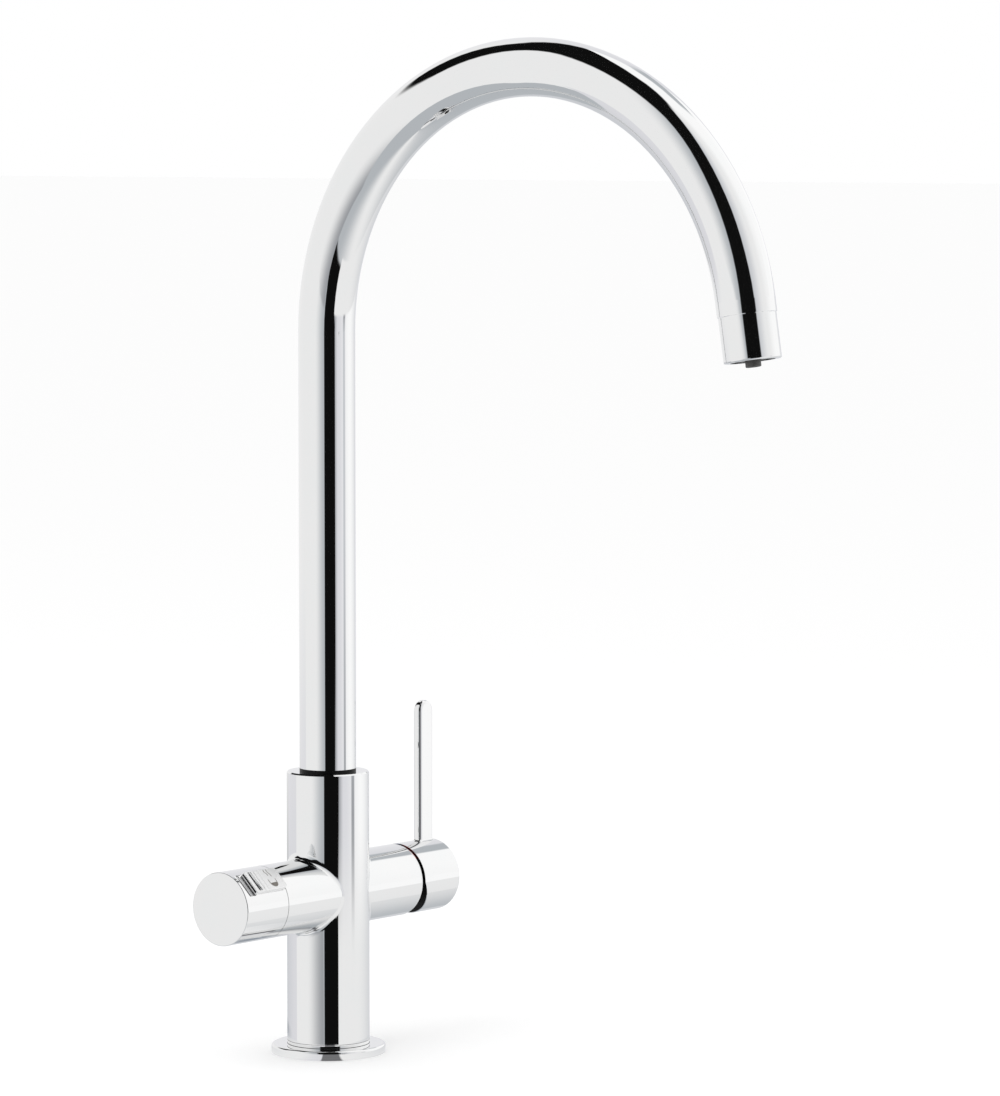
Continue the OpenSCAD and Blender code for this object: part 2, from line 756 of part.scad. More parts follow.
module boiling_nozzle() {
    color(nozzle_grey) on_outlet() translate([0, 0, insert_z]) difference() {
        union() {
            cylinder(r = nozzle_flange_r, h = nozzle_flange_t);
            puck(nozzle_d / 2, insert_t + insert_recess + nozzle_drop, 0.5);
        }
        translate([0, 0, -cut])
            cylinder(r = nozzle_bore_r, h = insert_t + insert_recess + nozzle_drop + 2 * cut);
    }
}

// ---- Boiling-water handle ----

module boil_handle() {
    shell_l = boil_shell_end - handle_seam;
    web_z0 = boil_hub_end - web_t;
    color(chrome) on_boil_arm() difference() {
        union() {
            translate([0, 0, handle_seam]) ring(arm_r, handle_bore_r, shell_l);
            translate([0, 0, web_z0]) cylinder(r = handle_bore_r + 0.5, h = web_t);
            translate([0, 0, boil_hub_z]) cylinder(r = hub_r, h = boil_hub_end - boil_hub_z);
        }
        square_socket(boil_hub_z - cut, boil_hub_end - hub_floor_t);
        translate([0, 0, boil_hub_end - 2 * cut]) cylinder(r = screw_r + gap, h = 3 * cut);
        rotate([0, 0, -slide_angle]) {
            slide_bed();
            bar([latch_h - latch_t - latch_head_h - gap, handle_bore_r],
                [-latch_w / 2 - gap, latch_w / 2 + gap], [web_z0 - cut, boil_hub_end + cut]);
        }
    }
}

// Square hole for a spindle, from one place along the axis to another
module square_socket(from, to) {
    s = spindle_sq / 2 + fit;
    bar([-s, s], [-s, s], [from, to]);
}

// Flat bed and slot of the safety slide, with a thumb scoop at its outer end
module slide_bed() {
    w = slide_w / 2 + gap;
    neck_w = slide_neck_w / 2 + gap;
    bar([slide_bed_h, slide_h + cut], [-w, w], [-cut, bed_end]);
    intersection() {
        translate([slide_bed_h - scoop_depth + scoop_r, w, bed_end + gap - scoop_r * 0.7])
            rotate([90, 0, 0]) cylinder(r = scoop_r, h = 2 * w);
        bar([0, slide_h], [-w, w], [0, boil_shell_end - cap_rim_t]);
    }
    bar([latch_h, slide_h], [-neck_w, neck_w],
        [slide_neck_z - gap, slide_neck_z + slide_neck_l + slide_travel + gap]);
}

module boil_handle_cap() {
    color(chrome) on_boil_arm() translate([0, 0, boil_shell_end]) {
        puck(arm_r, cap_rim_t, cap_edge_r);
        translate([0, 0, -cap_spigot_l]) cylinder(r = handle_bore_r - fit, h = cap_spigot_l + eps);
    }
}

module boil_spindle() {
    square_z = 1.6;
    end_z = boil_hub_end - hub_floor_t - gap;
    color(brass) on_boil_arm() difference() {
        union() {
            translate([0, 0, spindle_flange_z]) cylinder(r = boil_disc_r - 0.2, h = spindle_flange_t);
            translate([0, 0, spindle_flange_z]) cylinder(r = spindle_r, h = square_z - spindle_flange_z);
            bar([-spindle_sq / 2, spindle_sq / 2], [-spindle_sq / 2, spindle_sq / 2],
                [square_z - eps, end_z]);
            bar([-boil_disc_r * 0.7, boil_disc_r * 0.7], [-spindle_key_w / 2, spindle_key_w / 2],
                [spindle_flange_z - spindle_key_h, spindle_flange_z + eps]);
        }
        translate([0, 0, stem_oring_z - stem_oring_r - fit])
            ring(spindle_r + cut, spindle_r - 2 * stem_oring_r - fit, 2 * (stem_oring_r + fit));
        translate([0, 0, boil_hub_end - screw_l - gap]) cylinder(r = screw_r + fit, h = screw_l + cut);
    }
}

module spindle_oring() {
    color(rubber) on_boil_arm() translate([0, 0, stem_oring_z]) torus(spindle_r - stem_oring_r, stem_oring_r);
}

module boil_moving_disc() {
    key_w = spindle_key_w + 2 * fit;
    color(ceramic) on_boil_arm() translate([0, 0, boil_moving_z]) difference() {
        cylinder(r = boil_disc_r - 0.2, h = disc_t);
        rotate([0, 0, 90]) disc_ports(boil_port_r, disc_t);
        bar([-boil_disc_r, boil_disc_r], [-key_w / 2, key_w / 2],
            [disc_t - spindle_key_h - fit, disc_t + cut]);
    }
}

module boil_handle_screw() {
    color(steel) on_boil_arm() translate([0, 0, boil_hub_end]) difference() {
        union() {
            puck(screw_head_r, screw_head_h, 0.5);
            translate([0, 0, -screw_l]) cylinder(r = screw_r, h = screw_l + eps);
        }
        translate([0, 0, screw_head_h - 1.6]) cylinder(r = 1.6, h = 3, $fn = 6);
    }
}

// Helix swept with a six-sided section; it stands between the latch and the cap
module slide_spring() {
    from = latch_end_z + 0.1;
    length = boil_shell_end - cap_spigot_l - 0.1 - from;
    per_turn = 10;
    n = spring_turns * per_turn;
    sides = 6;
    climb = (length - 2 * spring_wire_r) / n;
    points = [for (k = [0 : n], i = [0 : sides - 1]) let (
            a = 360 * k / per_turn,
            b = 360 * i / sides,
            r = spring_r + spring_wire_r * cos(b))
        [r * cos(a), r * sin(a), spring_wire_r + climb * k + spring_wire_r * sin(b)]];
    side_faces = [for (k = [0 : n - 1], i = [0 : sides - 1])
        let (a = k * sides, b = (k + 1) * sides, j = (i + 1) % sides)
        each [[a + i, a + j, b + j], [a + i, b + j, b + i]]];
    end_faces = [[for (i = [sides - 1 : -1 : 0]) i], [for (i = [0 : sides - 1]) n * sides + i]];
    color(steel) on_slide() translate([latch_h - latch_t / 2 - 0.6, 0, from])
        polyhedron(points, concat(side_faces, end_faces));
}

module safety_slide() {
    color(chrome) on_slide() difference() {
        union() {
            slide_plate(slide_h - slide_t, slide_h, slide_w, slide_z, slide_end, slide_corner_r);
            bar([latch_h + fit, slide_h - slide_t + eps], [-slide_neck_w / 2, slide_neck_w / 2],
                [slide_neck_z, slide_neck_z + slide_neck_l]);
        }
        for (i = [0 : rib_count - 1]) let (z = slide_end - rib_inset - i * rib_pitch)
            bar([slide_h - rib_depth[i], slide_h + cut], [-slide_w / 2 - cut, slide_w / 2 + cut],
                [z - rib_w, z]);
        bar([slide_h - line_depth, slide_h + cut], [-slide_w / 2 - cut, slide_w / 2 + cut],
            [slide_end - line_inset - line_w, slide_end - line_inset]);
        latch_screw_places() cylinder(r = latch_screw_r + fit, h = 2.6, $fn = 32);
    }
}

module latch_screw_places() {
    for (z = [slide_neck_z + latch_screw_inset, slide_neck_z + slide_neck_l - latch_screw_inset])
        translate([latch_h - eps, 0, z]) rotate([0, 90, 0]) children();
}

// Steel strip under the slide; its inner end is the tongue that locks the turn
module safety_latch() {
    color(steel) on_slide() difference() {
        bar([latch_h - latch_t, latch_h], [-latch_w / 2, latch_w / 2], [latch_tip_z, latch_end_z]);
        latch_screw_places() translate([0, 0, -latch_t - cut])
            cylinder(r = latch_screw_r + fit, h = latch_t + 2 * cut, $fn = 32);
    }
}

module latch_screws() {
    color(steel) on_slide() latch_screw_places() {
        translate([0, 0, -latch_t - latch_head_h]) cylinder(r = latch_head_r, h = latch_head_h, $fn = 32);
        translate([0, 0, -latch_t - eps]) cylinder(r = latch_screw_r, h = latch_t + 2.4, $fn = 32);
    }
}

// ---- Mixer ----

module mixer_carrier() {
    slot_x = [-carrier_slot[0] / 2 + carrier_slot_lift, carrier_slot[0] / 2 + carrier_slot_lift];
    color(plastic) on_mixer_arm() difference() {
        union() {
            translate([0, 0, carrier_flange_z])
                cylinder(r = carrier_r, h = carrier_flange_end - carrier_flange_z);
            translate([0, 0, carrier_flange_z])
                cylinder(r = carrier_neck_r, h = carrier_end - carrier_flange_z);
            intersection() {
                cylinder(r = carrier_r, h = 60, center = true);
                for (side = [0, 1]) mirror([0, side, 0])
                    bar([-lug_h / 2, lug_h / 2], [lug_y, carrier_r],
                        [mixer_moving_z + 0.4, carrier_flange_z + eps]);
            }
        }
        bar(slot_x, [-carrier_slot[1] / 2, carrier_slot[1] / 2], [carrier_flange_z - cut, carrier_end + cut]);
        translate([0, 0, pivot_z]) rotate([90, 0, 0])
            cylinder(r = pin_r + fit, h = 2 * carrier_r, center = true);
    }
}

module mixer_pivot_pin() {
    color(steel) on_mixer_arm() translate([0, 0, pivot_z]) rotate([90, 0, 0])
        cylinder(r = pin_r, h = pin_l, center = true);
}

// Slides up as the lever tilts; it rests half the travel below the axis
module mixer_moving_disc() {
    rest = -ball_travel / 2;
    color(ceramic) on_mixer_arm() difference() {
        intersection() {
            translate([rest, 0, mixer_moving_z]) cylinder(r = moving_disc_r, h = moving_disc_t);
            bar([-20, 20], [-moving_disc_flat, moving_disc_flat],
                [mixer_moving_z - cut, mixer_moving_z + 10]);
        }
        translate([0, 0, ball_z - ball_r - pocket_gap])
            cylinder(r = ball_r + pocket_gap, h = moving_disc_t);
    }
}

module mixer_stem() {
    square_z = pivot_z - 3;
    end_z = mixer_hub_z + socket_l - gap;
    s = spindle_sq / 2;
    color(steel) on_mixer_arm() difference() {
        union() {
            translate([0, 0, ball_z]) sphere(ball_r);
            translate([0, 0, ball_z]) cylinder(r = stem_neck_r, h = square_z - ball_z + eps);
            bar([-s, s], [-s, s], [square_z, end_z]);
        }
        translate([0, 0, pivot_z]) rotate([90, 0, 0]) cylinder(r = pin_r + run, h = 4 * s, center = true);
    }
}

// Outer half of the lever's rounded section
module lever_half() {
    side = lever_w / 2 - lever_edge_r;
    translate([0, -lever_w / 2]) square([lever_t / 2 - lever_edge_r, lever_w]);
    translate([0, -side]) square([lever_t / 2, 2 * side]);
    for (i = [-1, 1]) translate([lever_t / 2 - lever_edge_r, i * side]) circle(lever_edge_r, $fn = 48);
}

// Lever: a bar of rounded section with a full round end
module lever() {
    end = lever_h - lever_t / 2;
    translate([lever_root, 0, lever_z]) rotate([0, 90, 0]) linear_extrude(end - lever_root) {
        lever_half();
        mirror([1, 0]) lever_half();
    }
    translate([end, 0, lever_z]) rotate([90, 0, 0]) rotate([0, 0, -90])
        rotate_extrude(angle = 180) lever_half();
}

// Blend at the lever's foot: a ball of radius lever_foot_r rolls round the corner
foot_steps = 4;
foot_turn = 6;                      // sections round each corner of the lever
function foot_corner(k) = [[1, 1], [-1, 1], [-1, -1], [1, -1]][k];
function foot_edge(k, a, d) = let (c = foot_corner(k)) [
    c[0] * (lever_w / 2 - lever_edge_r) + (lever_edge_r + d) * cos(a),
    lever_z + c[1] * (lever_t / 2 - lever_edge_r) + (lever_edge_r + d) * sin(a)];
function foot_on(r, p) = [sqrt(r * r - p[0] * p[0]), p[0], p[1]];
function foot_arc(c, v1, v2, s) = let (w = acos(v1 * v2))
    c + lever_foot_r * (sin((1 - s) * w) * v1 + sin(s * w) * v2) / sin(w);
function foot_section(k, a) = let (
        c = foot_on(arm_r + lever_foot_r, foot_edge(k, a, lever_foot_r)),
        v1 = [0, -cos(a), -sin(a)],
        v2 = -[c[0], c[1], 0] / (arm_r + lever_foot_r),
        sink = blend_bite * [0, -cos(a), -sin(a)]) concat(
    [foot_on(arm_r - lever_foot_root, foot_edge(k, a, -lever_foot_root)), c + lever_foot_r * v1 + sink],
    [for (i = [1 : foot_steps - 1]) foot_arc(c, v1, v2, i / foot_steps)],
    [c + (lever_foot_r + blend_bite) * v2]);

module lever_foot() {
    ring_n = foot_steps + 2;
    turns = 4 * (foot_turn + 1);
    points = [for (k = [0 : 3], i = [0 : foot_turn]) each foot_section(k, 90 * (k + i / foot_turn))];
    faces = [for (k = [0 : turns - 1], i = [0 : ring_n - 1])
        let (a = k * ring_n, b = ((k + 1) % turns) * ring_n, j = (i + 1) % ring_n)
        each [[a + i, b + i, b + j], [a + i, b + j, a + j]]];
    polyhedron(points, faces);
}

module mixer_handle() {
    slant = (arm_r + cut) * tan(tilt_angle);
    color(chrome) on_mixer_arm() difference() {
        union() {
            difference() {
                translate([0, 0, mixer_shell_z]) puck(arm_r, mixer_handle_l, end_edge_r);
                translate([0, 0, mixer_shell_z - cut])
                    cylinder(r = handle_bore_r, h = mixer_handle_l - end_wall + cut);
            }
            translate([0, 0, mixer_hub_z])
                cylinder(r = hub_r, h = mixer_shell_end - end_wall - mixer_hub_z + cut);
            lever();
            lever_foot();
        }
        square_socket(mixer_hub_z - cut, mixer_hub_z + socket_l);
        translate([0, arm_d / 2 + cut, 0]) rotate([90, 0, 0]) linear_extrude(arm_d + 2 * cut)
            polygon([[0, mixer_shell_z - eps], [-arm_r - cut, mixer_shell_z - eps],
                [-arm_r - cut, mixer_shell_z + slant]]);
        translate([0, 0, grub_z]) rotate([0, -90, 0]) cylinder(r = grub_r + fit, h = arm_d);
    }
}

module mixer_grub_screw() {
    color(steel) on_mixer_arm() translate([-spindle_sq / 2, 0, grub_z]) rotate([0, -90, 0]) difference() {
        cylinder(r = grub_r, h = hub_r - spindle_sq / 2);
        translate([0, 0, hub_r - spindle_sq / 2 - 2]) cylinder(r = 1.4, h = 3, $fn = 6);
    }
}

module grub_plug() {
    color(chrome) on_mixer_arm() translate([-arm_r + 0.4, 0, grub_z]) rotate([0, 90, 0])
        cylinder(r = grub_r, h = plug_t);
}

base_flange();
base_gasket();
tap_body();
neck_ring();
spout_bush();
spout_lock_screw();
inner_tube_seal();
boil_seat_seal();
boil_fixed_disc();
boil_cartridge();
boil_slip_ring();
mixer_seat_seals();
mixer_fixed_disc();
mixer_cartridge();
mixer_cartridge_nut();
temperature_ring();
hot_mark();
cold_mark();
spout_tube();
outlet_ferrule();
spout_spigot();
spout_orings();
boiling_inner_tube();
outlet_collar();
outlet_washer();
flow_former();
boiling_nozzle();
boil_handle();
boil_handle_cap();
boil_spindle();
spindle_oring();
boil_moving_disc();
boil_handle_screw();
slide_spring();
safety_slide();
safety_latch();
latch_screws();
mixer_carrier();
mixer_pivot_pin();
mixer_moving_disc();
mixer_stem();
mixer_handle();
mixer_grub_screw();
grub_plug();
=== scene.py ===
"""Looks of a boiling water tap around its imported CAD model: studio, finishes and fine detail."""

from __future__ import annotations

import json
import logging
import math
from collections.abc import Callable
from dataclasses import dataclass
from enum import Enum

import bpy
from mathutils import Matrix, Vector

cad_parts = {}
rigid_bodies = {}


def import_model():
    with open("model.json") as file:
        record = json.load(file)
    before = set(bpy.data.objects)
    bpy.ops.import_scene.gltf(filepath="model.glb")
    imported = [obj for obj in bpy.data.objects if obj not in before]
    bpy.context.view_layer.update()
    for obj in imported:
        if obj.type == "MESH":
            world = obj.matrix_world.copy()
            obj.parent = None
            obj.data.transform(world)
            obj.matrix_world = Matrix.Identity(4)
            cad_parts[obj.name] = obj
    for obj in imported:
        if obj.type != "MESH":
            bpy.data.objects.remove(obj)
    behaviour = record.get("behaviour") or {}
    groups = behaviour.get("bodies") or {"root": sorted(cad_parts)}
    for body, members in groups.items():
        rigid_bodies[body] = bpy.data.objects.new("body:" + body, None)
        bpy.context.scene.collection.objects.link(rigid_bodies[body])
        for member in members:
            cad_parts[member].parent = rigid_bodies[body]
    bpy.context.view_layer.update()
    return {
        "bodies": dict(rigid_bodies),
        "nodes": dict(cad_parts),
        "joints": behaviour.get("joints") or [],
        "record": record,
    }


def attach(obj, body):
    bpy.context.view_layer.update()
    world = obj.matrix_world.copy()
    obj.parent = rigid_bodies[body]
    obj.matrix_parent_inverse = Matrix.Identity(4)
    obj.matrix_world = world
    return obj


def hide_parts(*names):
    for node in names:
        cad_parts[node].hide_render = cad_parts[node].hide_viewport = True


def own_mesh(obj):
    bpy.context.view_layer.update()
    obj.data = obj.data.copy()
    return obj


log = logging.getLogger("tap")

MM = 0.001
NEAR = 0.01                 # mm within which a point counts as on a face or edge that is picked
ARM_HEIGHT = 71.4           # mm, the arms' axis above the worktop
ARM_R = 16.0
WHITE = "#ffffff"
MARKS_SPAN = (0.3, 0.7)     # where most values of a noise texture lie
CLOUD_SPAN = (0.4, 0.75)    # values of the broad noise between clean and shaded patches
CAMERA_AZIMUTH = -51.06     # heading of the camera from the tap, degrees from -Y towards +X
CAMERA_ELEVATION = 4.55
HEADING = Vector((math.sin(math.radians(CAMERA_AZIMUTH)), -math.cos(math.radians(CAMERA_AZIMUTH)), 0.0))
RIGHT = Vector((math.cos(math.radians(CAMERA_AZIMUTH)), math.sin(math.radians(CAMERA_AZIMUTH)), 0.0))


def linear(hex_colour: str) -> tuple[float, float, float, float]:
    """Turns an sRGB hex colour into linear light.

    Args:
        hex_colour: six hex digits after a hash sign.

    Returns:
        Red, green, blue and an alpha of one.
    """
    parts = [int(hex_colour[i:i + 2], 16) / 255 for i in (1, 3, 5)]
    return (*(p / 12.92 if p <= 0.04045 else ((p + 0.055) / 1.055) ** 2.4 for p in parts), 1.0)


def add_node(tree: bpy.types.NodeTree, kind: str, settings: dict | None = None,
             inputs: dict | None = None) -> bpy.types.Node:
    """Adds a node with its settings and links.

    Args:
        tree: the node tree that takes the node.
        kind: Blender's name of the node's type.
        settings: properties of the node.
        inputs: values or output sockets for its inputs, by name or number.

    Returns:
        The new node.
    """
    node = tree.nodes.new(kind)
    for name, value in (settings or {}).items():
        setattr(node, name, value)
    for key, value in (inputs or {}).items():
        if isinstance(value, bpy.types.NodeSocket):
            tree.links.new(value, node.inputs[key])
        else:
            node.inputs[key].default_value = value
    return node


@dataclass(frozen=True)
class Grain:
    """Fine structure that the making leaves on a surface."""

    size: float                                             # mm from mark to mark
    relief: float                                           # mm from valley to crest
    gloss: float                                            # how far the roughness strays from its mean
    stretch: tuple[float, float, float] = (1.0, 1.0, 1.0)   # marks per size along each axis
    cloud: float = 14.0                                     # mm from one patch of tone to the next


@dataclass(frozen=True)
class Finish:
    """One surface finish, as a maker would name it."""

    name: str
    colour: str
    shade: str              # tone of its darker patches
    roughness: float
    grain: Grain
    metallic: float = 0.0
    ior: float | None = None
    specular: float = 0.5   # lowered to dim a surface's reflection, which paints shade

    def material(self) -> bpy.types.Material:
        """Makes the finish's material, or finds it if it was made before.

        Returns:
            The material.
        """
        found = bpy.data.materials.get(self.name)
        if found:
            return found
        material = bpy.data.materials.new(self.name)
        material.use_nodes = True
        tree = material.node_tree
        shader = tree.nodes["Principled BSDF"]
        shader.inputs["Metallic"].default_value = self.metallic
        shader.inputs["Specular IOR Level"].default_value = self.specular
        if self.ior is not None:
            shader.inputs["IOR"].default_value = self.ior
        place = add_node(tree, "ShaderNodeTexCoord").outputs["Object"]
        drawn = add_node(tree, "ShaderNodeMapping", None, {"Vector": place, "Scale": self.grain.stretch})
        marks = add_node(tree, "ShaderNodeTexNoise", None,
                         {"Vector": drawn.outputs[0], "Scale": 1 / (self.grain.size * MM), "Detail": 2.0})
        cloud = add_node(tree, "ShaderNodeTexNoise", None,
                         {"Vector": place, "Scale": 1 / (self.grain.cloud * MM), "Detail": 2.0})
        gloss = add_node(tree, "ShaderNodeMapRange", None,
                         {"Value": marks.outputs["Fac"], "From Min": MARKS_SPAN[0], "From Max": MARKS_SPAN[1],
                          "To Min": self.roughness - self.grain.gloss,
                          "To Max": self.roughness + self.grain.gloss})
        tone = add_node(tree, "ShaderNodeMapRange", None,
                        {"Value": cloud.outputs["Fac"], "From Min": CLOUD_SPAN[0], "From Max": CLOUD_SPAN[1]})
        colour = add_node(tree, "ShaderNodeMix", {"data_type": "RGBA"},
                          {0: tone.outputs[0], 6: linear(self.colour), 7: linear(self.shade)})
        relief = add_node(tree, "ShaderNodeBump", None,
                          {"Height": marks.outputs["Fac"], "Distance": self.grain.relief * MM})
        for socket, source in (("Base Color", colour.outputs[2]), ("Roughness", gloss.outputs[0]),
                               ("Normal", relief.outputs[0])):
            tree.links.new(source, shader.inputs[socket])
        return material


class Finishes(Enum):
    """The tap's finishes."""

    # Bright chromium over nickel on polished brass: a clear neutral mirror, whose polishing leaves a
    # swell of a few millimetres that only shows as a slight waver in the edges of reflections
    CHROME = Finish("bright_chrome_plate", "#ebebeb", "#eaebeb", 0.035, Grain(5.0, 0.0006, 0.008),
                    metallic=1.0)
    # The safety pad is pearl-blasted before plating: a pale, even metal that scatters much of the light
    SATIN = Finish("satin_chrome_plate", "#efefef", "#ebecec", 0.34, Grain(0.3, 0.0003, 0.02), metallic=0.4)
    # Turned brass: the tool's feed marks run round the arms, drawn at 0.6 mm so that they show
    BRASS = Finish("turned_brass", "#c9a35a", "#b98f49", 0.28, Grain(0.6, 0.004, 0.06, (1.0, 0.08, 0.08)),
                   metallic=1.0)
    # Bright drawn stainless steel: faint lengthwise lines, drawn at 0.5 mm
    STEEL = Finish("bright_stainless", "#b9bcc0", "#adb0b4", 0.24, Grain(0.5, 0.002, 0.05, (1.0, 1.0, 0.15)),
                   metallic=1.0)
    # Moulded black acetal: a fine spark-eroded texture that breaks the highlight; its reflection is dimmed to
    # paint shade
    ACETAL = Finish("black_acetal", "#0b0b0c", "#111112", 0.42, Grain(0.35, 0.006, 0.07), ior=1.48,
                    specular=0.15)
    # Heat-resistant grey plastic of the nozzle, moulded and slightly mottled by its glass filling
    NOZZLE = Finish("glass_filled_grey_nylon", "#4d4c4b", "#434241", 0.42, Grain(0.4, 0.008, 0.06, cloud=2.0),
                    ior=1.53)
    # Natural acetal of bushes and the cartridge: milky, with a soft gloss
    NATURAL = Finish("natural_acetal", "#dcdcd6", "#d1d1ca", 0.4, Grain(0.5, 0.005, 0.06), ior=1.48)
    # Black sealing rubber: dull, with the mould's fine grain
    RUBBER = Finish("sealing_rubber", "#161617", "#1d1d1e", 0.65, Grain(0.3, 0.01, 0.08), ior=1.5)
    # Lapped alumina: fine random lapping marks on a dense ivory body
    CERAMIC = Finish("lapped_alumina", "#efe9db", "#e6dfcf", 0.18, Grain(0.3, 0.001, 0.05), ior=1.76)
    # Pad-printed enamel of the hot-drink sign: thin, warm grey, half dull
    ENAMEL = Finish("warm_grey_enamel", "#79746d", "#6f6a64", 0.36, Grain(0.25, 0.002, 0.06, cloud=1.5),
                    ior=1.5)
    # Moulded temperature marks, coloured through
    RED = Finish("red_inlay", "#c8301f", "#ba2a1b", 0.35, Grain(0.3, 0.004, 0.05, cloud=3.0), ior=1.5)
    BLUE = Finish("blue_inlay", "#2456a8", "#1f4c98", 0.35, Grain(0.3, 0.004, 0.05, cloud=3.0), ior=1.5)


SLOT_FINISH = {
    "chrome_plate": Finishes.CHROME,
    "bare_brass": Finishes.BRASS,
    "stainless_steel": Finishes.STEEL,
    "black_plastic": Finishes.ACETAL,
    "grey_plastic": Finishes.NOZZLE,
    "white_plastic": Finishes.NATURAL,
    "rubber_seal": Finishes.RUBBER,
    "ceramic": Finishes.CERAMIC,
    "hot_red": Finishes.RED,
    "cold_blue": Finishes.BLUE,
}


class Grey(Enum):
    """The few greys of which the studio is made."""

    LIT = "#f8f8f8"         # cloth of a soft box, straight in front of its lamp
    PAPER = "#e8e8e8"       # cloth towards its edge, and white paper in full light
    WALL = "#d8d8dc"
    HAZE = "#c4c6ca"        # paper that faces away from the lamps
    DIM = "#b0b4b8"
    SHADE = "#989a9e"
    SHADOW = "#707072"      # the flag's shadow on the table
    FLAG = "#0e0e0e"        # black velvet


Tones = tuple[tuple[float, Grey], ...]


@dataclass(frozen=True)
class Panel:
    """A soft box, wall or table top round the tap.

    Azimuth runs from the camera's heading to its right, elevation from the horizon, in degrees.
    The tones run along the azimuth. Where there are tones for the top, they take over between the
    two elevations of the rise.
    """

    azimuth: tuple[float, float]
    elevation: tuple[float, float]
    corner: float
    soft: float
    tones: Tones
    top: Tones = ()
    rise: tuple[float, float] = (0.0, 1.0)
    behind: bool = False


def bare_material(name: str) -> bpy.types.Material:
    """Makes a material with no nodes in it yet.

    Args:
        name: its name.

    Returns:
        The material.
    """
    material = bpy.data.materials.new(name)
    material.use_nodes = True
    material.node_tree.nodes.clear()
    return material


